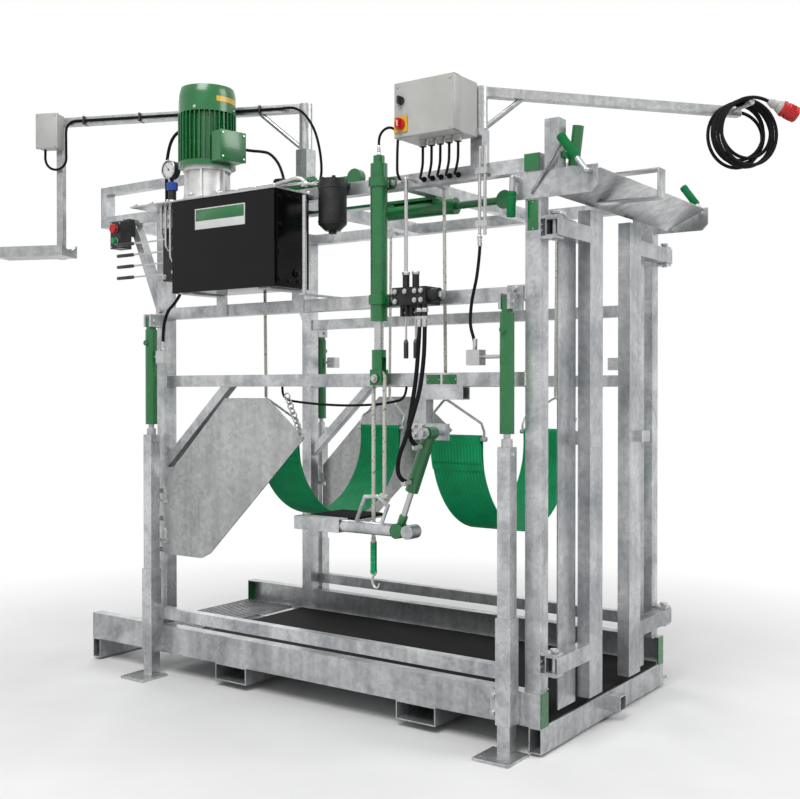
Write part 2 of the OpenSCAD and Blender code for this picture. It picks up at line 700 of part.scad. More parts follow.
// Rear valve bank beside the tank, with the gauge and its pipe above the lid
module rear_valve_bank() color(black) {
  difference() {
    box([bank_x0, bank_y - 38, bank_z - 36], [tank_x0, bank_y + 38, bank_z + 3 * lever_pitch + 40]);
    for (i = [0:3])
      box([bank_x0 - 1, bank_y - 22, bank_z + i * lever_pitch - 9],
          [bank_x0 + 32, bank_y + 22, bank_z + i * lever_pitch + 9]);
  }
  for (i = [0:3])
    translate([bank_x0 + 16, bank_y, bank_z + i * lever_pitch - 9]) cylinder(d = 6, h = 18);
  translate([-546, motor_y, lid_z]) cylinder(d = 16, h = 120);
  difference() {
    pin_y(-546, lid_z + 160, motor_y - 22, motor_y + 14, 80);
    pin_y(-546, lid_z + 160, motor_y - 23, motor_y - 18, 70);
  }
  difference() {
    translate([-500, motor_y - 40, lid_z]) cylinder(d = 34, h = 60);
    translate([-500, motor_y - 40, lid_z + 30]) cylinder(r = 8 + run_gap, h = 40);
  }
}

// Blue adjusting knob of the relief valve
module relief_knob() color("royalblue") {
  translate([-500, motor_y - 40, lid_z + 34]) cylinder(d = 16, h = 30);
  translate([-500, motor_y - 40, lid_z + 60 + lug_gap]) cylinder(d = 44, h = 34, $fn = 64);
}

// A rear valve lever, its eye on a pin in the bank
module rear_lever(i) {
  z = bank_z + i * lever_pitch;
  difference() {
    union() {
      translate([bank_x0 + 16, bank_y, z - 7]) cylinder(d = 20, h = 14);
      pin_x(bank_y, z, bank_x0 - lever_len + 100, bank_x0 + 10, 8);
    }
    translate([bank_x0 + 16, bank_y, z - 10]) cylinder(r = 3 + run_gap, h = 20);
  }
  pin_x(bank_y, z, bank_x0 - lever_len, bank_x0 - lever_len + 100 - weld, 15);
}
module rear_lever_1() color(black) rear_lever(3);
module rear_lever_2() color(black) rear_lever(2);
module rear_lever_3() color(black) rear_lever(1);
module rear_lever_4() color(black) rear_lever(0);

// Middle valve block on the upper rail, with hose fittings
mid_x0 = 612;
mid_y = -(post_out + 62);
module mid_valve_block() color(black) {
  box([mid_x0, mid_y - 34, upper_rail_z - 4], [mid_x0 + 150, -post_out, upper_rail_z + 62]);
  for (x = [mid_x0 + 40, mid_x0 + 84]) {
    difference() {
      box([x - 16, mid_y - 16, upper_rail_z - 44], [x + 16, mid_y + 16, upper_rail_z - 4 - weld]);
      box([x - 6, mid_y - 20, upper_rail_z - 50], [x + 6, mid_y + 20, upper_rail_z - 14]);
    }
    pin_x(mid_y, upper_rail_z - 30, x - 6, x + 6, 6);
    translate([x, mid_y, upper_rail_z + 62 + weld]) cylinder(d = 26, h = 48);
  }
  pin_x(mid_y, upper_rail_z + 30, mid_x0 + 150 + weld, mid_x0 + 190, 52);
  for (x = [mid_x0 + 112, mid_x0 + 136])
    translate([x, mid_y - 18, upper_rail_z - 46]) cylinder(d = 22, h = 42 - weld);
}

// A middle valve lever, hanging under the block
module mid_lever(x) {
  z = upper_rail_z - 30;
  difference() {
    union() {
      pin_x(mid_y, z, x - 4.5, x + 4.5, 18);
      translate([x, mid_y, z - 110]) cylinder(d = 8, h = 106);
    }
    pin_x(mid_y, z, x - 10, x + 10, 6 + 2 * run_gap);
  }
  translate([x, mid_y, z - 170]) cylinder(d = 17, h = 60 - weld);
}
module mid_lever_1() color(black) mid_lever(mid_x0 + 40);
module mid_lever_2() color(black) mid_lever(mid_x0 + 84);

// Black return filter beside the rope cylinder
filter_d = 112;
filter_clear = 104;
filter_x = tank_x0 + tank_len + filter_clear + filter_d / 2;
filter_y = -(post_out + 62);
module oil_filter() color(black) {
  translate([filter_x, filter_y, top_rail_z - 120]) cylinder(d = filter_d, h = 150);
  translate([filter_x, filter_y, top_rail_z - 145]) cylinder(d1 = 60, d2 = filter_d, h = 25);
  translate([filter_x, filter_y, top_rail_z + 30 + weld]) cylinder(d = filter_d - 8, h = 26);
  box([filter_x - 40, -post_out - 30, top_rail_z + 32], [filter_x + 40, -post_out, top_rail_z + 46]);
}

// Light grey control cabinet with its cable glands
module control_cabinet() color("lightgray") {
  difference() {
    box([cab_x0, -cab_front, cab_z0], [cab_x0 + cab_w, -cab_back, cab_z0 + cab_h]);
    box([cab_x0 + 3, -cab_front + 3, cab_z0 + 3], [cab_x0 + cab_w - 3, -cab_back - 3, cab_z0 + cab_h - 3]);
    for (z = [switch_z, selector_z])
      pin_y(switch_x, z, -cab_front - 1, -cab_front + 4, 10 + 2 * run_gap);
  }
  difference() {
    box([switch_x - 27, -cab_front - 4, switch_z - 27], [switch_x + 27, -cab_front - weld, switch_z + 27]);
    pin_y(switch_x, switch_z, -cab_front - 5, -cab_front, 10 + 2 * run_gap);
  }
  for (i = [0:4])
    translate([gland_x(i), gland_y, cab_z0 - 26]) cylinder(d = 24, h = 26 - weld);
}
function gland_x(i) = cab_x0 + 70 + 38 * i;
gland_y = -(cab_back + cab_d / 2);

// Red rotary main switch on the cabinet front
module main_switch() color("red") {
  pin_y(switch_x, switch_z, -cab_front - 5, -cab_front + 12, 10);
  difference() {
    pin_y(switch_x, switch_z, -cab_front - 26, -cab_front - 5, 40);
    for (side = [-1, 1])
      translate([switch_x + side * 15 - 8, -cab_front - 27, switch_z - 22]) cube([16, 13, 44]);
  }
}

// Black selector knob above the main switch
module selector_knob() color(black) {
  pin_y(switch_x, selector_z, -cab_front - 4, -cab_front + 12, 10);
  pin_y(switch_x, selector_z, -cab_front - 10, -cab_front - lug_gap, 30);
  box([switch_x - 4, -cab_front - 24, selector_z - 14], [switch_x + 4, -cab_front - 10, selector_z + 14]);
}

// Push button box on the rear overhang
ss = [-overhang_x + 210, -(post_out + 30), top_rail_z - 60];
module start_stop_box() color(black) {
  difference() {
    box([ss[0] - 36, ss[1] - 62, ss[2] - 62], [ss[0] + 36, ss[1], ss[2] + 62]);
    for (z = [ss[2] + 28, ss[2] - 28]) {
      pin_y(ss[0], z, ss[1] - 63, ss[1] - 44, 26 + 2 * run_gap);
    }
  }
  box([ss[0] - 22, ss[1] + weld, ss[2]], [ss[0] + 22, -post_out, top_rail_z + 20]);
}
module push_button(z, wide) {
  pin_y(ss[0], z, ss[1] - 70, ss[1] - 52, 26);
  pin_y(ss[0], z, ss[1] - 82, ss[1] - 70, wide);
}
module stop_button() color("red") push_button(ss[2] + 28, 40);
module start_button() color("limegreen") push_button(ss[2] - 28, 26);

// Rope cylinder barrel with its collars, clamped to the upper and top rails
module rope_cylinder() color(green) {
  difference() {
    translate([rope_x, rope_y, rope_cyl_z0]) cylinder(d = rope_cyl_d, h = rope_cyl_z1 - rope_cyl_z0);
    translate([rope_x, rope_y, rope_cyl_z0 + 40])
      cylinder(d = rope_cyl_d - 14, h = rope_cyl_z1 - rope_cyl_z0 - 60);
    translate([rope_x, rope_y, rope_cyl_z0 - 1]) cylinder(r = rope_rod_d / 2 + run_gap, h = 60);
  }
  for (z = [upper_rail_z + 8, top_rail_z + 6])
    difference() {
      union() {
        translate([rope_x, rope_y, z]) cylinder(d = rope_cyl_d + 14, h = 36);
        box([rope_x - 48, -post_out - 8, z], [rope_x + 48, -post_out, z + 36]);
      }
      translate([rope_x, rope_y, z - 1]) cylinder(d = rope_cyl_d + 2 * weld, h = 38);
      box([rope_x - 60, -post_out, z - 1], [rope_x + 60, -post_out + 60, z + 40]);
    }
  translate([rope_x, rope_y, rope_cyl_z1 + weld]) cylinder(d = 44, h = 30);
}

// Rope cylinder's rod with its fork, sheave and pin
module rope_rod() color(green) {
  top = fork_z + fork_h2;
  translate([rope_x, rope_y, top - 20]) cylinder(d = rope_rod_d, h = rope_cyl_z1 - 130 - top);
  translate([rope_x, rope_y, rope_cyl_z1 - 180]) cylinder(d = rope_cyl_d - 15, h = 36);
  difference() {
    translate([rope_x, rope_y, fork_z + 60]) cylinder(d = 56, h = fork_h2 - 60);
    translate([rope_x, rope_y, top - 21]) cylinder(d = rope_rod_d + 2 * weld, h = 30);
    box([rope_x - 40, rope_y - 14, fork_z + 50], [rope_x + 40, rope_y + 14, fork_z + 106]);
  }
  for (side = [-1, 1])
    difference() {
      box([rope_x - 26, rope_y + side * 19 - 5, fork_z],
          [rope_x + 26, rope_y + side * 19 + 5, fork_z + 60 - weld]);
      pin_y(rope_x, fork_z + 26, rope_y - 40, rope_y + 40, 20.4);
    }
  pin_y(rope_x, fork_z + 26, rope_y - 30, rope_y + 30, 20);
  difference() {
    pin_y(rope_x, fork_z + 26, rope_y - 12, rope_y + 12, 2 * strand_gap);
    pin_y(rope_x, fork_z + 26, rope_y - 20, rope_y + 20, 20.4);
    translate([rope_x, rope_y, fork_z + 26]) rotate([90, 0, 0]) rotate_extrude()
      translate([strand_gap, 0]) circle(d = rope_d + 2 * weld);
  }
}

// White lift rope over the sheave: two falls, a knot, and a strap with its hook
module lift_rope() color("ivory") {
  z = fork_z + 26;
  translate([rope_x, rope_y, z]) rotate([90, 0, 0]) rotate_extrude(angle = 180)
    translate([strand_gap, 0]) circle(d = rope_d);
  translate([rope_x + strand_gap, rope_y, 880]) cylinder(d = rope_d, h = z - 880);
  translate([rope_x + strand_gap, rope_y, 868]) sphere(d = 44);
  translate([rope_x - strand_gap, rope_y, 712]) cylinder(d = rope_d, h = z - 712);
  translate([rope_x - strand_gap - 11, rope_y - 4, 590]) cube([22, 8, 122 - weld]);
  bent_bar([[rope_x - strand_gap, rope_y, 590 - weld], [rope_x - strand_gap - 6, rope_y, 556],
            [rope_x - strand_gap + 2, rope_y, 530], [rope_x - strand_gap + 16, rope_y, hook_z + 6],
            [rope_x - strand_gap + 24, rope_y, hook_z + 22]], 10);
}

// One belt hoist cylinder on its saddles, with its rod and rope sheave
module hoist(x0, y, z, seat) {
  end = x0 + hoist_len;
  difference() {
    union() {
      pin_x(y, z, x0, end, hoist_d);
      for (x = [x0 + 40, end - 70])
        box([x, y - 26, min(z, seat)], [x + 30, y + 26, max(z, seat)]);
    }
    pin_x(y, z, x0 + 20, end + 1, hoist_d - 16);
  }
  pin_x(y, z, x0 + 60, end + hoist_out, hoist_rod_d);
  pin_x(y, z, x0 + 60, x0 + 90, hoist_d - 16.4);
  difference() {
    pin_x(y, z, end + weld, end + 26, hoist_d + 4);
    pin_x(y, z, end, end + 27, hoist_rod_d + 2 * weld);
  }
  pin_y(end + hoist_out + 20, z, y - 16, y + 16, 72);
}
hoist_len = 330;
hoist_d = 62;
hoist_rod_d = 30;
hoist_out = 230;
carrier_t = 12;

// Belt hoist cylinders on their carrier bars above and below the roof, and the gate cylinder
module hoist_cylinders() color(green) {
  box([-rear_post_x, -450, roof_top + weld], [tool_mast[0] + 20, -390, roof_top + carrier_t]);
  hoist(-300, -420, roof_top + carrier_t + weld + hoist_d / 2, roof_top + carrier_t + weld);
  box([tool_mast[0] - 30, -330, top_rail_z - carrier_t], [bridge_x + rail_w, -270, top_rail_z - weld]);
  hoist(330, -300, top_rail_z - carrier_t - weld - hoist_d / 2, top_rail_z - carrier_t - weld);
  bar([post_face + 102, -post_out + 85, roof_top + 105], [post_face + 84, -post_out + 85, visor_z1 + 20], 42);
  box([post_face + 70 + weld, -post_out + 20, roof_top - 10], [post_face + 80, -post_out + 90, roof_top + 10]);
}

// Two belly belts of ribbed webbing, each one sling between two bars
module belly_belts() color(green) for (x = belt_xs)
  translate([x - belt_w / 2, 0, belt_z]) rotate([90, 0, 90]) linear_extrude(belt_w)
    difference() {
      circle(r = belt_y + belt_t / 2, $fn = 120);
      circle(r = belt_y - belt_t / 2, $fn = 120);
      translate([-belt_y - 50, 0]) square([2 * belt_y + 100, belt_y + 100]);
    }

// Belt bars, their triangular rings, the lifting ropes and the rope pulleys
module belt_bars() color(galv) for (x = belt_xs) both_sides() {
  pin_x(-belt_y, belt_z + belt_bar_d / 2 + weld, x - belt_w / 2 - 22, x + belt_w / 2 + 22, belt_bar_d);
  out = belt_w / 2 + 12;
  low = belt_z + belt_bar_d + 2 * weld;
  half_ring = [[out, -belt_y, low], [out, -belt_y, low + 18], [out, -belt_y - 20, low + 50],
               [14, -apex_y + 4, apex_z - 7]];
  swept([for (p = concat(half_ring, [[0, -apex_y, apex_z]], flipped(half_ring))) p + [x, 0, 0]],
        ring_d, 10, [0, 0.87, 0.5]);
  bar([x, -apex_y, apex_z + ring_d / 2 + 0.3], [x, -rail_in + 22, top_rail_z - 9.5], 12);
  pin_y(x, top_rail_z + 16, -rail_in, -rail_in + 30, 50);
}
function flipped(p) = [for (i = [len(p) - 1:-1:0]) [-p[i][0], p[i][1], p[i][2]]];

// Hoof support bracket under the middle rail, with its pivot pin
module hoof_carriage() color(galv) {
  x0 = hoof_post[0];
  x1 = x0 + hoof_post[1];
  hollow([x0, -post_out, hoof_pin[1] - 10], [x1, -rail_in, mid_rail_z], 2);
  hollow([x1 + weld, -post_out, mid_rail_z - rail_w], [x0 + 222, -rail_in, mid_rail_z], 0);
  box([x0 + 8, -post_out - 12, hoof_pin[1] - 30], [hoof_pin[0] + 26, -post_out - weld, hoof_pin[1] + 32]);
  pin_y(hoof_pin[0], hoof_pin[1], hoof_y - 34, -post_out - 12 - weld, hoof_pin_d);
  pin_y(hoof_pin[0], hoof_pin[1], hoof_y - 42, hoof_y - 34 - weld, 40);
}

// Children in the hoof cylinder's own frame, with -Z along the cylinder
module hoof_frame() translate([hoof_pin[0], hoof_y, hoof_pin[1]]) rotate([0, hoof_tilt, 0]) children();

// Tilted hoof support cylinder, hung on its pin
module hoof_cylinder() color(green) hoof_frame() difference() {
  union() {
    rotate([90, 0, 0]) translate([0, 0, -26]) cylinder(d = 46, h = 52);
    translate([0, 0, -232]) cylinder(d = hoof_cyl_d, h = 222);
    for (z = hoof_ports) pin_y(0, z, -hoof_cyl_d / 2 - 12, -hoof_cyl_d / 2 + 5, 20);
  }
  rotate([90, 0, 0]) translate([0, 0, -40]) cylinder(r = hoof_pin_d / 2 + run_gap, h = 80);
  translate([0, 0, -212]) cylinder(d = hoof_cyl_d - 12, h = 180);
  translate([0, 0, -240]) cylinder(r = hoof_rod_d / 2 + run_gap, h = 60);
}

// Hoof rest: the rod, its knuckle, the cross tube and the guide loop
module hoof_rest() color(galv) {
  hoof_frame() {
    translate([0, 0, -hoof_len + 20]) cylinder(d = hoof_rod_d, h = hoof_len - 110);
    translate([0, 0, -120]) cylinder(d = hoof_cyl_d - 12.6, h = 24);
  }
  z = hoof_end[1];
  difference() {
    pin_y(hoof_end[0], z, hoof_y - 24, hoof_y + 24, knuckle_d);
    hoof_frame() translate([0, 0, -hoof_len + 20 - weld]) cylinder(d = hoof_rod_d + 2 * weld, h = 60);
  }
  difference() {
    pin_x(hoof_y, z, 376, hoof_end[0] - 27, 48);
    pin_y(hoof_end[0], z, hoof_y - 60, hoof_y + 60, knuckle_d + 2 * weld);
  }
  pin_y(hoof_end[0] + knuckle_d / 2 + 26 + weld, z, hoof_y - 30, hoof_y + 30, 52);
  hollow([150, hoof_y - 28, z - 26], [376 - weld, hoof_y + 28, z + 26], 0);
  box([160, hoof_y + 28 + weld, z + 6], [370, hoof_y + 270, z + 12]);
  bent_bar([[440, hoof_y, z + 20], [500, hoof_y - 24, z + 120], [560, hoof_y - 24, z + 125],
            [590, hoof_y, z + 90], [560, hoof_y, z + 20]], 15);
}

// Rubber pad on the hoof rest
module hoof_pad() color(black)
  box([160, hoof_y + 30, hoof_end[1] + 12], [370, hoof_y + 270, hoof_end[1] + 26]);

// One side plate on its hinge knuckles, with its hold-closed chain
module side_plate() {
  low = -plate_hinge_y - side_t / 2;
  rotate([90, 0, 0]) translate([0, 0, -low - side_t])
    linear_extrude(side_t)
      polygon([[plate_hinge_x, 545], [plate_hinge_x, 880], [-325, 1247], [-82, 1248], [120, 1086],
               [-417, 570], [-470, 545]]);
  for (z = [612 + lug_gap, 792 + lug_gap])
    difference() {
      translate([plate_hinge_x, -plate_hinge_y, z]) cylinder(d = 22, h = 40);
      translate([plate_hinge_x, -plate_hinge_y, z - 1]) cylinder(r = 6 + run_gap, h = 50);
    }
}
chain_from = [106, 1100];
chain_links = 9;
chain_pitch = 21.4;
module side_plate_near() color(galv) {
  difference() {
    side_plate();
    for (z = [612, 792]) translate([plate_hinge_x, -plate_hinge_y, z - 14]) cylinder(r = 6 + run_gap, h = 66);
    for (z = [600, 780]) translate([plate_hinge_x, -plate_hinge_y, z - 8]) cylinder(d = 44, h = 20 + lug_gap);
  }
  chain();
}
module chain() {
  lean = atan2(18 - chain_from[0], 1283 - chain_from[1]);
  translate([chain_from[0], -plate_hinge_y - side_t / 2 - 3.2, chain_from[1]]) rotate([0, lean, 0])
    for (i = [0:chain_links - 1])
      translate([0, 0, i * chain_pitch]) rotate([90, 0, i % 2 == 0 ? 0 : 90])
        rotate_extrude() translate([14, 0]) circle(d = 6);
}
module side_plate_far() color(galv) mirror([0, 1, 0]) difference() {
  side_plate();
  for (z = [612, 792]) translate([plate_hinge_x, -plate_hinge_y, z - 14]) cylinder(r = 6 + run_gap, h = 66);
  for (z = [600, 780]) translate([plate_hinge_x, -plate_hinge_y, z - 8]) cylinder(d = 44, h = 20 + lug_gap);
}

// Brace in the corner under a boom, cut to fit the turning head and the boom's underside
brace_w = 20;
module boom_brace(foot_z, reach, boom_z) difference() {
  bar([head_d / 2 - brace_w, 0, foot_z - brace_w], [reach + brace_w, 0, boom_z + brace_w / 2], brace_w);
  translate([0, 0, foot_z - 3 * brace_w]) cylinder(d = head_d + 2 * weld, h = boom_z - foot_z + 6 * brace_w);
  box([-brace_w, -brace_w, boom_z - weld], [reach + 3 * brace_w, brace_w, boom_z + 3 * brace_w]);
}

// Tool boom: turning head, arm, brace, junction box, hanger and tool cradle
module tool_boom() color(galv) translate([tool_mast[0], tool_mast[1], 0]) {
  difference() {
    translate([0, 0, tool_mast_top + lug_gap])
      cylinder(d = head_d, h = tool_boom_z + boom_w - tool_mast_top - lug_gap);
    translate([0, 0, tool_mast_top - 1])
      cylinder(r = spindle_d / 2 + run_gap,
               h = tool_boom_z + boom_w - tool_mast_top - spindle_cover + lug_gap + 1);
  }
  rotate(tool_boom_az) {
    difference() {
      hollow([head_d / 2 - 6, -boom_w / 2, tool_boom_z],
             [tool_boom_len, boom_w / 2, tool_boom_z + boom_w], 0, 3);
      translate([0, 0, tool_boom_z - 1]) cylinder(d = head_d + 2 * weld, h = 60);
    }
    boom_brace(tool_mast_top + 20, 190, tool_boom_z);
    box([tool_boom_len - hanger_w, -hanger_w / 2, cradle_z], [tool_boom_len, hanger_w / 2, tool_boom_z - weld]);
    translate([tool_boom_len, hanger_w / 2 + weld + cradle_w / 2, cradle_z]) difference() {
      box([-100, -cradle_w / 2, 0], [240, cradle_w / 2, 60]);
      pin_x(0, 90, -94, 234, 156);
      pin_x(0, 120, -110, 260, 180);
    }
    box([tool_boom_len - 40, boom_w / 2 + weld, tool_boom_z - 110],
        [tool_boom_len + 60, boom_w / 2 + 62, tool_boom_z + 40]);
  }
}

// Cable boom on the cabinet mast, with a peg for the cable at its end
module cable_boom() color(galv) translate([mast_x, mast_y, 0]) {
  difference() {
    translate([0, 0, mast_top + lug_gap]) cylinder(d = head_d, h = cable_boom_z + boom_w - mast_top - lug_gap);
    translate([0, 0, mast_top - 1])
      cylinder(r = spindle_d / 2 + run_gap, h = cable_boom_z + boom_w - mast_top - spindle_cover + lug_gap + 1);
  }
  rotate(cable_boom_az) {
    difference() {
      hollow([head_d / 2 - 6, -boom_w / 2, cable_boom_z],
             [cable_boom_len, boom_w / 2, cable_boom_z + boom_w], 0, 3);
      translate([0, 0, cable_boom_z - 1]) cylinder(d = head_d + 2 * weld, h = 60);
    }
    boom_brace(mast_top + 20, 150, cable_boom_z);
    pin_y(cable_boom_len - peg_back, cable_boom_z + boom_w / 2, -peg_len, -boom_w / 2 - weld, peg_d);
  }
}

// Supply cable: out of the boom's open end, in loose loops over the peg, then to its plug
peg_d = 19.6;
peg_len = 150;
peg_back = 40;
coil_r = 118;
coil_rings = 24;
coil_pitch = 14;
coil_first = -36;
coil_drift = -36;
coil_last = coil_loops * coil_rings + 20;
coil_drop = coil_r - peg_d / 2 - cable_d / 2 - 0.3;
lead_rings = 8;
function coil_turn(i) = -360 * i / coil_rings;
function coil_y(i) = coil_first - coil_pitch * i / coil_rings
  + coil_drift * pow(max(0, (i - coil_last + 12) / 12), 2);
coil_path = concat([[peg_back - 20, 0, 0]],
  [for (i = [0:lead_rings])
    let (u = i / lead_rings)
    [peg_back + (coil_r - peg_back) * sin(90 * u), coil_first * u * u * (3 - 2 * u),
     -coil_drop * (1 - cos(90 * u))]],
  [for (i = [1:coil_last])
    [coil_r * cos(coil_turn(i)), coil_y(i), coil_r * sin(coil_turn(i)) - coil_drop]]);
function self_gap(p, skip, d) =
  min([for (i = [0:len(p) - 1 - skip]) for (j = [i + skip:len(p) - 1]) norm(p[j] - p[i])]) - d;
echo(coil_gap = self_gap(coil_path, 14, cable_d), spring_gap = self_gap(spring_path, 6, spring_wire));
module on_cable_boom() translate([mast_x, mast_y, cable_boom_z + boom_w / 2]) rotate(cable_boom_az)
  translate([cable_boom_len - peg_back, 0, 0]) children();
module cable_coil() color(black) on_cable_boom() swept(coil_path, cable_d, 6, [0, 1, 0]);

// Red five-pole plug at the end of the supply cable
plug_dir = path_dir(coil_path, len(coil_path) - 1);
module power_plug() color("crimson") on_cable_boom()
  along(coil_path[len(coil_path) - 1] + 0.3 * plug_dir, coil_path[len(coil_path) - 1] + plug_dir) {
    cylinder(d = 34, h = 50);
    translate([0, 0, 50]) cylinder(d = 62, h = 70);
  }

// Bright steel oil pipes clipped to the frame, with the lock valves of the legs
module steel_pipes() color("lightgray") {
  for (x = [front_leg_x - 140, front_leg_x - 118])
    translate([x, -post_out - 16, top_rail_z - 210]) cylinder(d = 12, h = 320);
  for (z = [top_rail_z - 180, top_rail_z + 10])
    box([front_leg_x - 154, -post_out - 26, z], [front_leg_x - 104, -post_out, z + 22]);
  both_sides() {
    box([front_leg_x - 154, -leg_y - 24, 1370], [front_leg_x - 99, -leg_y + 20, 1425]);
    pin_x(-leg_y, 1400, front_leg_x - 99 + weld, front_leg_x - leg_cyl_d / 2 - weld, 14);
    box([-690, -leg_y - 24, 1400], [-640, -leg_y + 20, 1455]);
    pin_x(-leg_y, 1430, rear_leg_x + leg_cyl_d / 2 + weld, -690 - weld, 14);
  }
  box([226, -712, upper_rail_z + rail_w + weld], [256, -rail_in, upper_rail_z + rail_w + 6]);
  translate([241, -698, upper_rail_z + rail_w + 6 + weld]) cylinder(d = 18, h = 380);
  translate([mid_x0 + 40, mid_y, upper_rail_z + 110 + 2 * weld])
    cylinder(d = 14, h = top_rail_z - upper_rail_z - 91);
  translate([mid_x0 + 40, mid_y, top_rail_z + 19]) sphere(d = 16);
  pin_y(mid_x0 + 40, top_rail_z + 19, mid_y, -post_out - weld, 14);
}

// Hoses and cables that hang between their fittings: diameter, ring side and route
hose_routes = [
  [16, [1, 0, 0], [[724, -615, 1553.7], [724, -615, 1500], [728, -628, 1425], [740, -660, 1325],
    [753, -702, 1235], [761, -729, 1180], [762, -735, 1144], [762, -726, 1111], [762, -702, 1087],
    [762, -674, 1078], [762, -664.3, 1078]]],
  [16, [1, 0, 0], [[748, -615, 1553.7], [748, -615, 1495], [764, -645, 1400], [784, -698, 1290],
    [783, -740, 1195], [767, -761, 1115], [739, -759, 1052], [719, -744, 1008], [713, -730, 978],
    [713, -706, 956], [713, -674, 947], [713, -664.3, 947]]],
  [12, [0, 1, 0], [for (p = [[-140, -551, top_rail_z - 210.3], [-140, -551, 1785], [-143, -566, 1690],
    [-150, -588, 1600], [-148, -601, 1520], [-134, -601, 1465], [-129, -601, 1440], [-129, -601, 1425.3]])
    p + [front_leg_x, 0, 0]]],
  [12, [1, -1, 0], [[-168.4, -621.2, 2281], [-164, -596, 2281.5], [-148.5, -567, 2281], [-119, -554, 2277],
    [-80, -552, 2266], [-42, -556, 2240], [-8, -563, 2203], [18, -571, 2158], [31, -577, 2118],
    [35, -580, 2092], [35, -580, 2073.4]]],
  [14, [0.4, -1, 0], [[-640, -600, 2073.4], [-640, -600, 2150], [-638, -600, 2290], [-610, -592, 2390],
    [-550, -575, 2425], [-490, -552, 2395], [-455, -530, 2320], [-445, -515, 2220], [-445, -510, 2140],
    [-445, -510, 2100.4]]],
  [14, [0, 1, 0], [[-665, -600, 1455.4], [-665, -600, 1510], [-652, -605, 1575], [-612, -618, 1628],
    [-556, -632, 1660], [-515, -639, 1696], [-500, -640, 1732], [-500, -640, 1749.6]]],
  [10, [0.7, 0.7, 0], [[510, -575, 2175.6], [510, -575, 2205], [510, -575, 2232], [516, -575, 2254.5],
    [532.5, -575, 2271], [555, -575, 2277], [577.5, -576, 2271], [594, -576, 2254.5], [600, -577, 2232],
    [600, -580, 2180], [600, -581, 2113], [600, -575.2, 2091.5], [600, -559.5, 2075.8],
    [600, -542, 2070], [600, -535.3, 2070]]],
  [10, [0, 1, 0], [[-40, -510, 1295.6], [-40, -510, 1283], [-34, -510, 1260], [-17, -509, 1243],
    [6, -507, 1237], [70, -504, 1230], [170, -501, 1223], [300, -500, 1220], [440, -502, 1225],
    [500, -505, 1232], [544, -508, 1239], [568, -509, 1246], [585, -510, 1263], [592, -510, 1286],
    [592, -510, 1295.6]]]];
gland_route = [[0, 0, -0.3], [0, 0, -33], [-8, 10, -63], [-30, 33, -88], [-56, 66, -96], [-60, 84, -96],
  [-60, 97.7, -96]];
// A smoothed route whose first and last runs stay straight, square to their fittings
function led(q) = [for (i = [0:len(q) - 1]) if (i != 1 && i != len(q) - 2) q[i]];
module hydraulic_hoses() color(black) {
  for (h = hose_routes) swept(led(smooth(h[2], 2)), h[0], 8, h[1]);
  for (i = [0:4])
    swept(led(smooth([for (p = gland_route) p + [gland_x(i), gland_y, cab_z0 - 26]], 2)), 10, 8, [1, 0, 0]);
}

module on_deck() translate([0, 0, -deck_top]) children();

on_deck() base_cross_tubes();
on_deck() base_side_beams();
on_deck() end_caps();
on_deck() floor_plate();
on_deck() rubber_mat();
on_deck() corner_posts();
on_deck() side_rails();
on_deck() roof_frame();
on_deck() leg_sleeves();
on_deck() leg_cylinder_barrels();
on_deck() front_visor();
on_deck() oil_tank();
on_deck() tank_lid();
on_deck() bell_housing();
on_deck() motor_body();
on_deck() rear_valve_bank();
on_deck() mid_valve_block();
on_deck() oil_filter();
on_deck() control_cabinet();
on_deck() start_stop_box();
on_deck() rope_cylinder();
on_deck() hoist_cylinders();
on_deck() belly_belts();
on_deck() belt_bars();
on_deck() hoof_carriage();
on_deck() steel_pipes();
on_deck() hydraulic_hoses();
on_deck() leg_front_near();
on_deck() leg_rear_near();
on_deck() leg_front_far();
on_deck() leg_rear_far();
on_deck() gate_leaf_near();
on_deck() gate_leaf_far();
on_deck() rope_rod();
on_deck() lift_rope();
on_deck() hoof_cylinder();
on_deck() hoof_rest();
on_deck() hoof_pad();
on_deck() side_plate_near();
on_deck() side_plate_far();
on_deck() tool_boom();
on_deck() cable_boom();
on_deck() cable_coil();
on_deck() power_plug();
on_deck() rear_lever_1();
on_deck() rear_lever_2();
on_deck() rear_lever_3();
on_deck() rear_lever_4();
on_deck() mid_lever_1();
on_deck() mid_lever_2();
on_deck() main_switch();
on_deck() selector_knob();
on_deck() stop_button();
on_deck() start_button();
on_deck() relief_knob();
on_deck() motor_rotor();
on_deck() latch_handle_near();
on_deck() latch_handle_far();
on_deck() latch_handle_rear();
on_deck() latch_spring();
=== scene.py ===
import bmesh
import bpy
from math import cos, pi, radians, sin, tau
from mathutils import Matrix, Vector


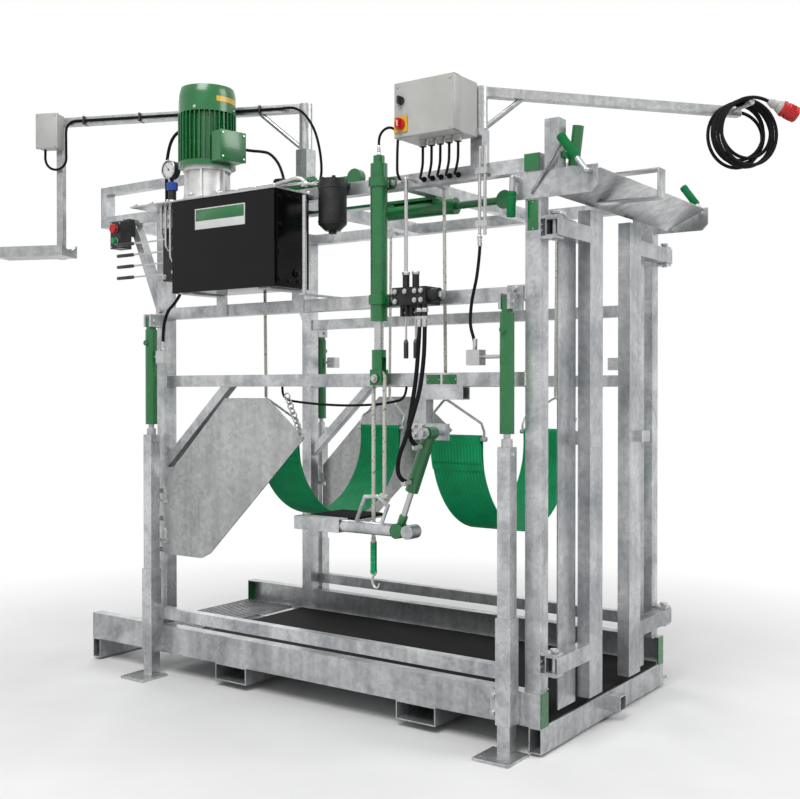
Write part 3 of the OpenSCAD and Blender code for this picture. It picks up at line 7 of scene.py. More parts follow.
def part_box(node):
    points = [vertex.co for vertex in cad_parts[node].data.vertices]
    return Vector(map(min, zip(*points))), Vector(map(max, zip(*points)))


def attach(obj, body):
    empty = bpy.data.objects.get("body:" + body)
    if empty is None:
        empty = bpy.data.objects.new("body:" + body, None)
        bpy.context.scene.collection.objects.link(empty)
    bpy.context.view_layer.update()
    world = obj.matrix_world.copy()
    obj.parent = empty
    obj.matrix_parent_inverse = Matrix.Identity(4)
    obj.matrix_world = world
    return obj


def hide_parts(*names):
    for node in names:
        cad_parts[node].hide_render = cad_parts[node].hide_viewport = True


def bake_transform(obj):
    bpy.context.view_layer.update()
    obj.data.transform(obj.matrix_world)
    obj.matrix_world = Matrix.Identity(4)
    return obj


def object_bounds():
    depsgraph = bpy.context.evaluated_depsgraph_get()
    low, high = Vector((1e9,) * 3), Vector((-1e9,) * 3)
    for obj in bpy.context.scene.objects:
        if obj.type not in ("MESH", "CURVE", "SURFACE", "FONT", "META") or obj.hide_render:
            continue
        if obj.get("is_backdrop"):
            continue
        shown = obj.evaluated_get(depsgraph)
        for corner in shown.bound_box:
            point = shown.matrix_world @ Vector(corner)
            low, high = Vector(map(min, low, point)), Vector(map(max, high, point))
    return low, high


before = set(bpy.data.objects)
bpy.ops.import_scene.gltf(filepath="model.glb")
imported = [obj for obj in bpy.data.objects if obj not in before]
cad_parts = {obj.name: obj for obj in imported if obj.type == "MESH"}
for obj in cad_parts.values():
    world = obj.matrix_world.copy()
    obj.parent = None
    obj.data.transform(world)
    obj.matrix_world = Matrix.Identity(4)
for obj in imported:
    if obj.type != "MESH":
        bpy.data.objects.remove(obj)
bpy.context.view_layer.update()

# Studio: a pale floor under the feet, a white surround and broad soft lamps.
# The camera stands off the operator's front corner, at the height of the belly belts.
scene = bpy.context.scene
scene.view_settings.view_transform = "Standard"
camera = bpy.data.objects.new("studio_camera", bpy.data.cameras.new("studio_camera"))
camera.data.sensor_fit = "HORIZONTAL"
camera.data.sensor_width = 36.0
camera.data.lens = 48.18
camera.location = (2.9506, -3.8694, 1.1663)
camera.rotation_euler = (radians(89.47), 0, radians(35.41))
scene.collection.objects.link(camera)
scene.camera = camera


def feed(tree, node, **sockets):
    """Sets or links the sockets of a shader node by name, with _ for a space."""
    for key, value in sockets.items():
        socket = node.inputs[key.replace("_", " ")]
        if isinstance(value, bpy.types.NodeSocket):
            tree.links.new(value, socket)
        else:
            socket.default_value = value


def add(tree, kind, settings=None, **sockets):
    """One shader node, with its settings, and its sockets set or linked by name."""
    made = tree.nodes.new("ShaderNode" + kind)
    for key, value in (settings or {}).items():
        setattr(made, key, value)
    feed(tree, made, **sockets)
    return made


def both(tree, operation, first, second, kind="Math"):
    """The value that a maths node makes of two sockets."""
    made = add(tree, kind, {"operation": operation})
    tree.links.new(first, made.inputs[0])
    tree.links.new(second, made.inputs[1])
    return made.outputs["Value"]


def noise(tree, place, scale, detail, **more):
    """The grey output of a noise pattern."""
    return add(tree, "TexNoise", Vector=place, Scale=scale, Detail=detail, **more).outputs["Fac"]


def graded(tree, value, low, high, to_low=0.0, to_high=1.0):
    """A grey value carried over from one range to another."""
    made = add(tree, "MapRange", Value=value, From_Min=low, From_Max=high, To_Min=to_low, To_Max=to_high)
    return made.outputs[0]


def ramped(tree, factor, *stops):
    """The colour output of a ramp through (place, grey or colour) stops."""
    made = tree.nodes.new("ShaderNodeValToRGB")
    tree.links.new(factor, made.inputs[0])
    while len(made.color_ramp.elements) < len(stops):
        made.color_ramp.elements.new(0.5)
    for element, (place, value) in zip(made.color_ramp.elements, stops):
        element.position = place
        element.color = (*value, 1.0) if isinstance(value, tuple) else (value, value, value, 1.0)
    return made.outputs[0]


def new_finish(name):
    """An empty finish: its material, node tree, shader and the place on the piece."""
    material = bpy.data.materials.new(name)
    material.use_nodes = True
    tree = material.node_tree
    return material, tree, tree.nodes["Principled BSDF"], add(tree, "TexCoord").outputs["Object"]


def sees_white(tree):
    """1 for rays that look at the surround straight, by a mirror or through glass."""
    rays = add(tree, "LightPath").outputs
    bounced = both(tree, "MAXIMUM", rays["Is Glossy Ray"], rays["Is Transmission Ray"])
    return both(tree, "MAXIMUM", rays["Is Camera Ray"], bounced)


floor_finish, tree, shader, place = new_finish("studio_floor")
dust = noise(tree, place, 3.0, 4.0)
feed(tree, shader, Base_Color=ramped(tree, dust, (0.3, 0.80), (0.7, 0.84)), Roughness=0.9,
     Specular_IOR_Level=0.1)
white = add(tree, "Emission", Color=(1, 1, 1, 1), Strength=1.0).outputs[0]
reach = add(tree, "VectorMath", {"operation": "LENGTH"}, Vector=place).outputs["Value"]
fade = graded(tree, reach, 1.5, 3.4)
faded = add(tree, "MixShader", Fac=both(tree, "MULTIPLY", fade, sees_white(tree)))
tree.links.new(shader.outputs[0], faded.inputs[1])
tree.links.new(white, faded.inputs[2])
feed(tree, tree.nodes["Material Output"], Surface=faded.outputs[0])
floor_radius = 30.0
floor_z = -0.1175
bm = bmesh.new()
bmesh.ops.create_circle(bm, cap_ends=True, segments=64, radius=floor_radius)
bmesh.ops.translate(bm, verts=bm.verts, vec=(0.1, 0, floor_z))
floor = bpy.data.objects.new("studio_floor", bpy.data.meshes.new("studio_floor"))
bm.to_mesh(floor.data)
bm.free()
floor.data.materials.append(floor_finish)
scene.collection.objects.link(floor)
floor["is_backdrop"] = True

world = bpy.data.worlds.new("studio_surround")
world.use_nodes = True
scene.world = world
tree = world.node_tree
feed(tree, tree.nodes["Background"], Color=(1, 1, 1, 1),
     Strength=graded(tree, sees_white(tree), 0.0, 1.0, 0.30, 1.0))

for name, at, aim, size, power in (
    ("key_lamp", (1.6, -5.0, 7.0), (0.2, 0, 0.9), 4.0, 430),
    ("front_lamp", (6.2, 2.2, 5.0), (0.6, 0, 1.0), 3.4, 190),
    ("rear_lamp", (-5.6, 3.2, 6.0), (0, 0, 1.0), 4.0, 180),
):
    lamp = bpy.data.objects.new(name, bpy.data.lights.new(name, "AREA"))
    lamp.data.size = size
    lamp.data.energy = power
    lamp.location = at
    lamp.rotation_euler = (Vector(aim) - Vector(at)).to_track_quat("-Z", "Y").to_euler()
    scene.collection.objects.link(lamp)


# Base: two cross tubes, fork pockets and channel side beams, welded up and dipped in zinc.
# The zinc freezes in small spangles, with dull blotches and faint runs where it drained.
def mixed(tree, factor, first, second, mode="MIX"):
    """The colour output of a mix of two colours or sockets."""
    made = tree.nodes.new("ShaderNodeMix")
    made.data_type = "RGBA"
    made.blend_type = mode
    for socket, value in ((made.inputs[0], factor), (made.inputs[6], first), (made.inputs[7], second)):
        if isinstance(value, bpy.types.NodeSocket):
            tree.links.new(value, socket)
        elif socket.type == "RGBA":
            socket.default_value = (*value, 1.0)
        else:
            socket.default_value = value
    return made.outputs[2]


def bumped(tree, height, strength, distance, invert=False, **more):
    """The normal of a surface with a pattern standing out of it, or sunk into it."""
    made = add(tree, "Bump", {"invert": invert}, Strength=strength, Distance=distance, Height=height, **more)
    return made.outputs[0]


def edges_worn_and_highlit(tree, width):
    """1 along sharp edges and 0 on flat faces, and the softened normal; the mask serves worn paint, and on
    zinc a painted edge highlight.
    """
    soft = add(tree, "Bevel", {"samples": 3}, Radius=width).outputs[0]
    flat = add(tree, "NewGeometry").outputs["Normal"]
    return graded(tree, both(tree, "DOT_PRODUCT", soft, flat, "VectorMath"), 0.995, 0.80), soft


def zinc(name, dull, bright, blotch, spangle):
    """Dipped zinc between two greys, with its blotches and spangles to a scale, and every edge lighter:
    partly rubbed wear, partly a painted highlight.
    """
    material, tree, shader, place = new_finish(name)
    edge, soft = edges_worn_and_highlit(tree, 0.003)
    cloud = noise(tree, place, blotch, 6.0, Roughness=0.62, Distortion=0.6)
    cells = add(tree, "TexVoronoi", Vector=place, Scale=spangle)
    grain = add(tree, "SeparateColor", Color=cells.outputs["Color"]).outputs[0]
    drain = add(tree, "Mapping", Vector=place, Scale=(26, 26, 2.2)).outputs[0]
    runs = noise(tree, drain, 1.0, 3.0)
    between = tuple(0.5 * (a + b) for a, b in zip(dull, bright))
    body = ramped(tree, cloud, (0.30, dull), (0.47, between), (0.62, bright))
    flecks = mixed(tree, 0.18, body, ramped(tree, grain, (0.1, 0.25), (0.9, 0.80)), "OVERLAY")
    stains = mixed(tree, 0.30, flecks, ramped(tree, runs, (0.36, 0.45), (0.56, 1.0)), "MULTIPLY")
    # Every edge goes lighter: partly rubbed zinc, partly a painted highlight along the edges.
    rubbed_and_highlit = tuple(min(1, 1.18 * c) for c in bright)
    height = both(tree, "ADD", noise(tree, place, 240.0, 3.0), grain)
    feed(tree, shader, Base_Color=mixed(tree, edge, stains, rubbed_and_highlit), Metallic=0.72,
         Roughness=graded(tree, cloud, 0.3, 0.7, 0.40, 0.24),
         Normal=bumped(tree, height, 0.10, 0.0008, Normal=soft))
    return material


def dress(material, *names):
    """Gives a finish to nodes of the frame."""
    for name in names:
        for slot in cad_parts[name].material_slots:
            slot.material = material


zinc_tube = zinc("zinc_on_tube", (0.30, 0.315, 0.33), (0.60, 0.61, 0.62), 6.0, 75.0)
zinc_beam = zinc("zinc_on_beam", (0.28, 0.29, 0.30), (0.54, 0.55, 0.56), 4.5, 60.0)
dress(zinc_beam, "base_cross_tubes", "base_side_beams")
dress(zinc_tube, "floor_plate")


# End caps: small steel plates in green enamel, pressed into the open ends of tubes.
# The paint is glossy with a faint orange peel, and rubbed thin along its edges.
def enamel(name, deep, light, rough, peel=0.05, coat=0.35, bare=(0.42, 0.43, 0.43), dust=0.10, shine=0.5):
    """Gloss paint between two shades, chipped to a bare colour along the edges."""
    material, tree, shader, place = new_finish(name)
    edge, soft = edges_worn_and_highlit(tree, 0.002)
    cloud = noise(tree, place, 9.0, 5.0, Roughness=0.6)
    speck = noise(tree, place, 160.0, 2.0)
    body = ramped(tree, cloud, (0.34, deep), (0.66, light))
    dusty = mixed(tree, ramped(tree, speck, (0.62, 0.0), (0.78, dust)), body, (0.45, 0.45, 0.43))
    chips = both(tree, "MULTIPLY", edge, ramped(tree, speck, (0.52, 0.0), (0.60, 0.75)))
    feed(tree, shader, Base_Color=mixed(tree, chips, dusty, bare),
         Roughness=graded(tree, cloud, 0.0, 1.0, rough * 0.75, rough * 1.3),
         Specular_IOR_Level=shine, Coat_Weight=coat, Coat_Roughness=0.12,
         Normal=bumped(tree, noise(tree, place, 320.0, 1.0), peel, 0.001, Normal=soft))
    return material


green_enamel = enamel("green_enamel", (0.003, 0.120, 0.026), (0.005, 0.155, 0.036), 0.26, dust=0.05)
dress(green_enamel, "end_caps")


# Standing mat: a black rubber sheet laid on the floor plate, its top moulded with fine studs.
# Hooves scuff it grey in patches, and its edges are cut square.
def rubber(name, dark, scuffed, grain, depth):
    """Matt rubber between two shades, with studs to a scale and a depth."""
    material, tree, shader, place = new_finish(name)
    cloud = noise(tree, place, 5.0, 7.0, Roughness=0.7)
    studs = add(tree, "TexVoronoi", {"feature": "SMOOTH_F1"}, Vector=place, Scale=grain, Randomness=0.25)
    feed(tree, shader, Base_Color=ramped(tree, cloud, (0.40, dark), (0.75, scuffed)),
         Roughness=ramped(tree, cloud, (0.3, 0.74), (0.7, 0.90)), Specular_IOR_Level=0.12,
         Normal=bumped(tree, studs.outputs["Distance"], depth, 0.002, True))
    return material


def piece(name, bm, material, body="frame", angle=35):
    """A finished bmesh as a piece of the chute, riding on a body if one is given."""
    bmesh.ops.recalc_face_normals(bm, faces=bm.faces)
    made = bpy.data.objects.new(name, bpy.data.meshes.new(name))
    bm.to_mesh(made.data)
    bm.free()
    made.data.shade_smooth()
    made.data.set_sharp_from_angle(angle=radians(angle))
    made.data.materials.append(material)
    scene.collection.objects.link(made)
    if body:
        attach(made, body)
    return made


def block(bm, low, high, round_off=0.0, turn=None):
    """A box between two corners in metres, with its edges rounded off."""
    size = Vector(high) - Vector(low)
    place = Matrix.Translation((Vector(low) + Vector(high)) / 2) @ Matrix.Diagonal((*size, 1.0))
    verts = bmesh.ops.create_cube(bm, size=1.0, matrix=place)["verts"]
    if round_off:
        edges = list(dict.fromkeys(e for v in verts for e in v.link_edges))
        made = bmesh.ops.bevel(bm, geom=edges, offset=round_off, segments=2, profile=0.5,
                               affect="EDGES", material=-1)
        verts = list(dict.fromkeys(v for f in made["faces"] for v in f.verts))
    if turn:
        bmesh.ops.transform(bm, matrix=turn, verts=verts)


mat_rubber = rubber("mat_rubber", (0.006, 0.006, 0.006), (0.022, 0.022, 0.021), 70.0, 0.25)
bm = bmesh.new()
low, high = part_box("rubber_mat")
block(bm, low, high, 0.003)
standing_mat = piece("standing_mat", bm, mat_rubber)
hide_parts("rubber_mat")

# Frame: square posts and rails, roof tubes, the rear hoop and both masts, all galvanised.
# Their joints are fillet welds laid before dipping, so the beads are zinc too.
dress(zinc_tube, "corner_posts", "side_rails", "roof_frame")

# Legs: square tubes on foot plates that slide in sleeves on the side beams.
# A green double-acting cylinder above each sleeve drives its leg down.
zinc_leg = zinc("zinc_on_legs", (0.33, 0.34, 0.35), (0.62, 0.63, 0.635), 5.5, 80.0)
dress(zinc_leg, "leg_sleeves", "leg_front_near", "leg_rear_near", "leg_front_far", "leg_rear_far")
dress(green_enamel, "leg_cylinder_barrels")

# Head gate: two tall leaves of rectangular tube on pinned arms, with flat guard plates.
# Large flat walls show the widest zinc blotches on the chute.
zinc_gate = zinc("zinc_on_gate", (0.25, 0.265, 0.28), (0.54, 0.55, 0.56), 3.6, 55.0)
dress(zinc_gate, "gate_leaf_near", "gate_leaf_far")


# Visor: side plates and an inclined sheet above the gate, with a bent neck guide.
# Bent handles with green grips work the latches, on stub shafts through the plates.
def rod(bm, start, end, radius, sides=16, tip=None, round_off=0.0):
    """A round bar or cone between two points in metres, with rounded rims."""
    run = Vector(end) - Vector(start)
    spin = run.to_track_quat("Z", "Y").to_matrix().to_4x4()
    place = Matrix.Translation((Vector(start) + Vector(end)) / 2) @ spin
    verts = bmesh.ops.create_cone(bm, cap_ends=True, segments=sides, radius1=radius,
                                  radius2=radius if tip is None else tip, depth=run.length,
                                  matrix=place)["verts"]
    if round_off:
        edges = dict.fromkeys(e for v in verts for e in v.link_edges)
        rims = [e for e in edges if any(len(f.verts) > 4 for f in e.link_faces)]
        bmesh.ops.bevel(bm, geom=rims, offset=round_off, segments=2, profile=0.5,
                        affect="EDGES", material=-1)


mat_height = 0.117


def mm(x, y, z):
    """A point given in millimetres above the ground, as metres above the mat."""
    return Vector((x / 1000, y / 1000, z / 1000 - mat_height))


zinc_sheet = zinc("zinc_on_sheet", (0.30, 0.31, 0.32), (0.54, 0.55, 0.555), 3.0, 48.0)
dress(zinc_sheet, "front_visor")
dress(zinc_tube, "latch_handle_near", "latch_handle_far", "latch_handle_rear")
grip_green = rubber("green_grip", (0.008, 0.15, 0.045), (0.014, 0.20, 0.065), 160.0, 0.06)
for name, body, pivot, tip, side in (
    ("grip_near", "latch_near", (1372, 2022), (1278, 2150), -1),
    ("grip_far", "latch_far", (1372, 2022), (1278, 2150), 1),
    ("grip_rear", "latch_rear", (1090, 2028), (1086, 1890), -1),
):
    bm = bmesh.new()
    low = mm(pivot[0], side * 571, pivot[1])
    high = mm(tip[0], side * 575, tip[1])
    start = low + (high - low) * 0.36
    along = (high - start).normalized()
    rod(bm, start - along * 0.0005, high + along * 0.0006, 0.0156, 24, round_off=0.002)
    for share in (0.12, 0.88):
        at = start + (high - start) * share
        rod(bm, at - along * 0.003, at + along * 0.003, 0.0166, 24, round_off=0.001)
    piece(name, bm, grip_green, body)


# Latch spring: a close wound tension spring from a pin on the visor to the near handle.
# It is wound from dark drawn wire, and is set in place on no body.
def drawn_steel(name, grey, rough):
    """Drawn or plated steel of one grey, with fine streaks."""
    material, tree, shader, place = new_finish(name)
    grain = add(tree, "Mapping", Vector=place, Scale=(8, 8, 260)).outputs[0]
    lines = noise(tree, grain, 4.0, 4.0)
    clear = ramped(tree, noise(tree, place, 24.0, 4.0), (0.3, grey * 0.78), (0.7, grey))
    tone = mixed(tree, 0.4, clear, ramped(tree, lines, (0.3, grey * 0.7), (0.7, grey * 1.1)))
    feed(tree, shader, Base_Color=tone, Metallic=0.95,
         Roughness=ramped(tree, lines, (0.3, rough * 0.8), (0.7, rough * 1.3)),
         Normal=bumped(tree, lines, 0.05, 0.0005))
    return material


def sewn(bm, rings):
    """Faces between rings of vertices, and a cap on each end."""
    count = len(rings[0])
    for a, b in zip(rings, rings[1:]):
        for k in range(count):
            bm.faces.new((a[k], a[(k + 1) % count], b[(k + 1) % count], b[k]))
    bm.faces.new(rings[0][::-1])
    bm.faces.new(rings[-1])


def heading(line, i):
    """The direction of a line of points at one of them."""
    return (line[min(i + 1, len(line) - 1)] - line[max(i - 1, 0)]).normalized()


def tube(bm, line, radius, sides=12, shape=None):
    """A capped tube along a line of points; shape(step, angle) scales its radius."""
    rings = []
    side = heading(line, 0).orthogonal().normalized()
    for i, at in enumerate(line):
        run = heading(line, i)
        side = (side - run * side.dot(run)).normalized()
        up = run.cross(side)
        ring = []
        for k in range(sides):
            a = tau * k / sides
            reach = radius * (shape(i, a) if shape else 1.0)
            ring.append(bm.verts.new(at + (side * cos(a) + up * sin(a)) * reach))
        rings.append(ring)
    sewn(bm, rings)


coil_radius = 0.006
coil_steps = 44 * 12
start = mm(1152, -550, 1972)
end = mm(1285, -550, 2141)
spin = (end - start).to_track_quat("Z", "Y").to_matrix().to_4x4()
length = (end - start).length
wire = [Vector((0.0042, -coil_radius, 0))]
for i in range(coil_steps + 1):
    a = radians(270 + 30 * i)
    share = i / coil_steps
    lean = (1 - 2 * share) * 0.0103
    wire.append(Vector((lean + coil_radius * cos(a), coil_radius * sin(a), length * share)))
wire.append(Vector((-0.0042, -coil_radius, length)))
bm = bmesh.new()
tube(bm, [start + spin @ p for p in wire], 0.0016, 8)
spring_steel = drawn_steel("spring_wire", 0.30, 0.34)
spring = piece("tension_spring", bm, spring_steel, None)
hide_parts("latch_spring")
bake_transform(spring)

# Power pack: a black enamelled tank with a zinc lid that carries bell housing and motor.
# Its end cover is bolted on all round, and a plain plate is riveted to its front.
black_enamel = enamel("black_tank_enamel", (0.0030, 0.0030, 0.0034), (0.0045, 0.0045, 0.005), 0.16,
                      peel=0.01, coat=0.05, bare=(0.012, 0.012, 0.012), dust=0.003, shine=0.16)
dress(black_enamel, "oil_tank")
dress(zinc_tube, "tank_lid")


def hex_bolt(bm, at, out, across=13.0):
    """A hexagon bolt head on its washer, standing on a face; sizes in millimetres."""
    out = Vector(out).normalized()
    flat = across / 1000
    rod(bm, at, at + out * 0.0018, flat * 0.85, 20)
    rod(bm, at + out * 0.0012, at + out * (0.0018 + flat * 0.55), flat * 0.577, 6, round_off=0.0008)


def turned(middle, radius, angle):
    """The point at an angle on a circle about a middle point, both as two numbers."""
    return middle[0] + radius * cos(angle), middle[1] + radius * sin(angle)


def plated(name, bm, body="frame"):
    """A finished bmesh as a piece of bright plated steel."""
    return piece(name, bm, bright_steel, body)


bright_steel = drawn_steel("bright_plated_steel", 0.56, 0.28)
cover_x = 148
lid_top = 2073
bm = bmesh.new()
for k in range(4):
    for y in (-738, -574):
        hex_bolt(bm, mm(cover_x, y, 1716 + 107 * k), (1, 0, 0), 10)
for y in (-683, -629):
    for z in (1712, 2041):
        hex_bolt(bm, mm(cover_x, y, z), (1, 0, 0), 10)
rod(bm, mm(147, -640, 1745), mm(156, -640, 1745), 0.016, 24, round_off=0.001)
rod(bm, mm(156, -640, 1745), mm(163, -640, 1745), 0.011, 6, round_off=0.001)
piece("tank_cover_bolts", bm, black_enamel)
bm = bmesh.new()
for x in (-660, -560, -460, -260, -160, -60, 40, 140):
    for y in (-758, -553):
        hex_bolt(bm, mm(x, y, lid_top), (0, 0, 1))
plated("tank_bolts", bm)
white_plate = enamel("plain_white_plate", (0.62, 0.63, 0.62), (0.70, 0.71, 0.70), 0.30,
                     peel=0.02, coat=0.4, bare=(0.5, 0.5, 0.5))
bm = bmesh.new()
block(bm, mm(-295, -761.2, 1940), mm(-14, -759.8, 2025), 0.0005)
piece("plate_on_tank", bm, white_plate)
bm = bmesh.new()
block(bm, mm(-290, -761.8, 1974), mm(-19, -761.0, 2021), 0.0003)
piece("band_on_tank_plate", bm, green_enamel)
breather = (70, -640)
bm = bmesh.new()
rod(bm, mm(*breather, lid_top), mm(*breather, 2092), 0.017, 24, round_off=0.001)
rod(bm, mm(*breather, 2092), mm(*breather, 2126), 0.029, 32, round_off=0.004)
for k in range(16):
    rib = turned(breather, 29, tau * k / 16)
    rod(bm, mm(*rib, 2096), mm(*rib, 2121), 0.0022, 6)
piece("tank_breather", bm, black_enamel)


# Motor: a green finned induction motor stood on its flange, with a pressed steel fan cowl.
# Screws hold the cowl and the lid of its terminal box, and a plain plate is bent round the cowl.
def cast_metal(name, dark, light, metallic, rough, grain):
    """Sand cast metal between two shades, with a grain to a scale."""
    material, tree, shader, place = new_finish(name)
    cloud = noise(tree, place, 18.0, 6.0, Roughness=0.65)
    sand = noise(tree, place, grain, 3.0)
    feed(tree, shader, Base_Color=ramped(tree, cloud, (0.32, dark), (0.68, light)), Metallic=metallic,
         Roughness=ramped(tree, sand, (0.3, rough * 0.85), (0.7, rough * 1.15)),
         Normal=bumped(tree, sand, 0.25, 0.0012))
    return material


def bent_strip(bm, start, wide, tall, centre, axis, angle):
    """A curved sheet: an end face, upright on a starting frame, spun about an axis."""
    face = start @ Matrix.Rotation(pi / 2, 4, "X") @ Matrix.Diagonal((wide, tall, 1, 1))
    bmesh.ops.create_grid(bm, x_segments=1, y_segments=1, size=0.5, matrix=face)
    bmesh.ops.spin(bm, geom=bm.faces[:], cent=centre, axis=axis, angle=angle, steps=24)
    bmesh.ops.holes_fill(bm, edges=bm.edges)


cast_aluminium = cast_metal("cast_aluminium", (0.50, 0.50, 0.50), (0.70, 0.70, 0.69), 0.9, 0.42, 420.0)
dress(cast_aluminium, "bell_housing")
dress(green_enamel, "motor_body")
dress(bright_steel, "motor_rotor")
motor_axis = (-330, -656)
motor_foot = Matrix.Translation(mm(*motor_axis, 0))
about_motor = motor_foot @ Matrix.Rotation(radians(-10), 4, "Z")
bm = bmesh.new()
for z in (2.231, 2.327):
    for y in (-0.052, 0.052):
        rod(bm, about_motor @ Vector((0.186, y, z)), about_motor @ Vector((0.189, y, z)), 0.005, 16,
            round_off=0.001)
for k in range(4):
    a = radians(20 + 90 * k)
    hex_bolt(bm, mm(*turned(motor_axis, 119, a), 2446), (cos(a), sin(a), 0), 8)
for k in range(6):
    hex_bolt(bm, mm(*turned(motor_axis, 93, radians(30 + 60 * k)), 2087), (0, 0, 1), 15)
plated("motor_screws", bm)
bm = bmesh.new()
block(bm, (0.1825, -0.064, 2.217), (0.1862, 0.064, 2.341), 0.0015, about_motor)
piece("terminal_box_lid", bm, green_enamel)
plate_start = motor_foot @ Matrix.Rotation(radians(-26), 4, "Z") @ Matrix.Translation((0.1193, 0, 2.483))
bm = bmesh.new()
bent_strip(bm, plate_start, 0.001, 0.022, mm(*motor_axis, 0), (0, 0, 1), radians(62))
yellow_plate = enamel("plain_yellow_plate", (0.62, 0.36, 0.012), (0.70, 0.42, 0.02), 0.34,
                      peel=0.02, coat=0.3, bare=(0.5, 0.4, 0.2))
piece("plate_on_cowl", bm, yellow_plate)


# Rear valves: a black steel bank against the tank's end, with four sprung levers.
# The levers are plated rods with black grips; bright pipes drop to the bank from the lid.
def moulded(name, deep, light, rough):
    """Moulded plastic between two shades, with a fine spark grain."""
    material, tree, shader, place = new_finish(name)
    cloud = noise(tree, place, 30.0, 4.0)
    spark = add(tree, "TexVoronoi", Vector=place, Scale=600.0).outputs["Distance"]
    feed(tree, shader, Base_Color=ramped(tree, cloud, (0.3, deep), (0.7, light)),
         Roughness=ramped(tree, cloud, (0.3, rough * 0.85), (0.7, rough * 1.15)),
         Normal=bumped(tree, spark, 0.06, 0.0004))
    return material


black_plastic = moulded("black_moulding", (0.010, 0.010, 0.011), (0.020, 0.020, 0.021), 0.42)
valve_black = cast_metal("phosphated_valve_steel", (0.012, 0.012, 0.013), (0.035, 0.035, 0.036),
                         0.55, 0.45, 500.0)
dress(valve_black, "rear_valve_bank")
dress(bright_steel, "rear_lever_1", "rear_lever_2", "rear_lever_3", "rear_lever_4")
bank_face = -694
pipe_y = -714
pipe_bend = 20
pipes = bmesh.new()
nuts = bmesh.new()
for i, z in enumerate((1936, 1886, 1836, 1786)):
    bm = bmesh.new()
    rod(bm, mm(-901, -656, z), mm(-799, -656, z), 0.0080, 20, round_off=0.003)
    rod(bm, mm(-799.5, -656, z), mm(-790, -656, z), 0.0080, 20, tip=0.0050)
    piece("lever_grip_%d" % (i + 1), bm, black_plastic, "rear_lever_%d_body" % (i + 1))
    x = -548 + 28 * i
    line = [mm(x, pipe_y, 2066), mm(x, pipe_y, z + 22)]
    for a in (0.4, 0.8, 1.2, pi / 2):
        line.append(mm(x, *turned((pipe_y + pipe_bend, z + pipe_bend), -pipe_bend, a)))
    tube(pipes, line, 0.0060, 14)
    rod(nuts, mm(x, -700, z), mm(x, bank_face, z), 0.0105, 6)
    rod(nuts, mm(x, pipe_y, 2050), mm(x, pipe_y, 2066.5), 0.0105, 6)
    rod(nuts, mm(-496, bank_face, z), mm(-496, -700, z), 0.009, 6)
for z in (1768, 1961):
    for x in (-548, -444):
        hex_bolt(nuts, mm(x, bank_face, z), (0, -1, 0))
plated("rear_pipes", pipes)
plated("rear_pipe_nuts", nuts)


# Lid pipes: two bent steel oil pipes that lie on the tank lid beside the bell housing.
# One turns down into the pipe at the tank's end, the other runs into the filter's head.
def smooth(points, steps=8):
    """A soft line through the points, bent evenly from one to the next."""
    ends = [points[0]] + list(points) + [points[-1]]
    line = []
    for a, b, c, d in zip(ends, ends[1:], ends[2:], ends[3:]):
        for i in range(steps):
            u = i / steps
            line.append(0.5 * (2 * b + (c - a) * u + (2 * a - 5 * b + 4 * c - d) * u * u
                               + (3 * b - a - 3 * c + d) * u ** 3))
    return line + [points[-1]]


pipes = bmesh.new()
nuts = bmesh.new()
for radius, route in (
    (0.0085, ((-190, -730, 2082), (-100, -730, 2082), (20, -730, 2082), (100, -727, 2084), (160, -719, 2094),
              (205, -709, 2103), (228, -702, 2100), (239, -698.5, 2088), (241, -698, 2070))),
    (0.0065, ((-190, -704, 2080), (-100, -704, 2080), (20, -704, 2080), (110, -704, 2080), (160, -700, 2083),
              (205, -683, 2086), (236, -656, 2087), (253, -631, 2087))),
):
    line = [mm(*p) for p in route]
    tube(pipes, smooth(line, 5), radius, 14)
    for at, beyond in ((line[0], line[1]), (line[-1], line[-2])):
        along = (beyond - at).normalized()
        rod(nuts, at - along * 0.002, at + along * 0.018, radius * 1.65, 6, round_off=0.001)
        rod(nuts, at + along * 0.018, at + along * 0.024, radius * 1.3, 20, round_off=0.001)
    block(nuts, line[0] + Vector((-0.028, -0.012, -0.0085)), line[0] + Vector((-0.001, 0.012, 0.0135)), 0.002)
plated("lid_pipes", pipes)
plated("lid_pipe_nuts", nuts)


# Gauge: a liquid filled pressure gauge on its pipe above the lid, in a black case.
# Its white dial carries fine marks and a needle; a blue knob beside it sets the relief valve.
def on_dial(radius, angle, y):
    """A point in front of the dial, at a radius and an angle from its centre."""
    x, z = turned((gauge_pipe[0], dial_z), radius, angle)
    return mm(x, y, z)


def hoop(bm, rim, wire, sides):
    """A closed ring of wire through a round of points."""
    tube(bm, rim + rim[:2], wire, sides)


gauge_pipe = (-546, -656)
dial_z = 2233
relief_axis = (-500, -696)
blue_plastic = moulded("blue_moulding", (0.012, 0.06, 0.30), (0.02, 0.085, 0.38), 0.40)
dress(blue_plastic, "relief_knob")
bm = bmesh.new()
for k in range(20):
    rib = turned(relief_axis, 22, tau * k / 20)
    rod(bm, mm(*rib, 2136), mm(*rib, 2165), 0.0020, 6)
piece("relief_knob_ribs", bm, blue_plastic, "relief_adjuster")
dial_white = enamel("dial_white", (0.66, 0.66, 0.64), (0.74, 0.74, 0.72), 0.5, peel=0.01, coat=0.0,
                    bare=(0.7, 0.7, 0.7))
bm = bmesh.new()
rod(bm, on_dial(0, 0, -674), on_dial(0, 0, -675), 0.0345, 48)
piece("gauge_dial", bm, dial_white)
bm = bmesh.new()
for k in range(31):
    a = radians(225 - 9 * k)
    inner, thick = (24, 0.0008) if k % 5 == 0 else (28, 0.0005)
    rod(bm, on_dial(inner, a, -675.2), on_dial(31, a, -675.2), thick, 6)
needle = radians(130)
rod(bm, on_dial(-8, needle, -676), on_dial(27, needle, -676), 0.0014, 8, tip=0.0005)
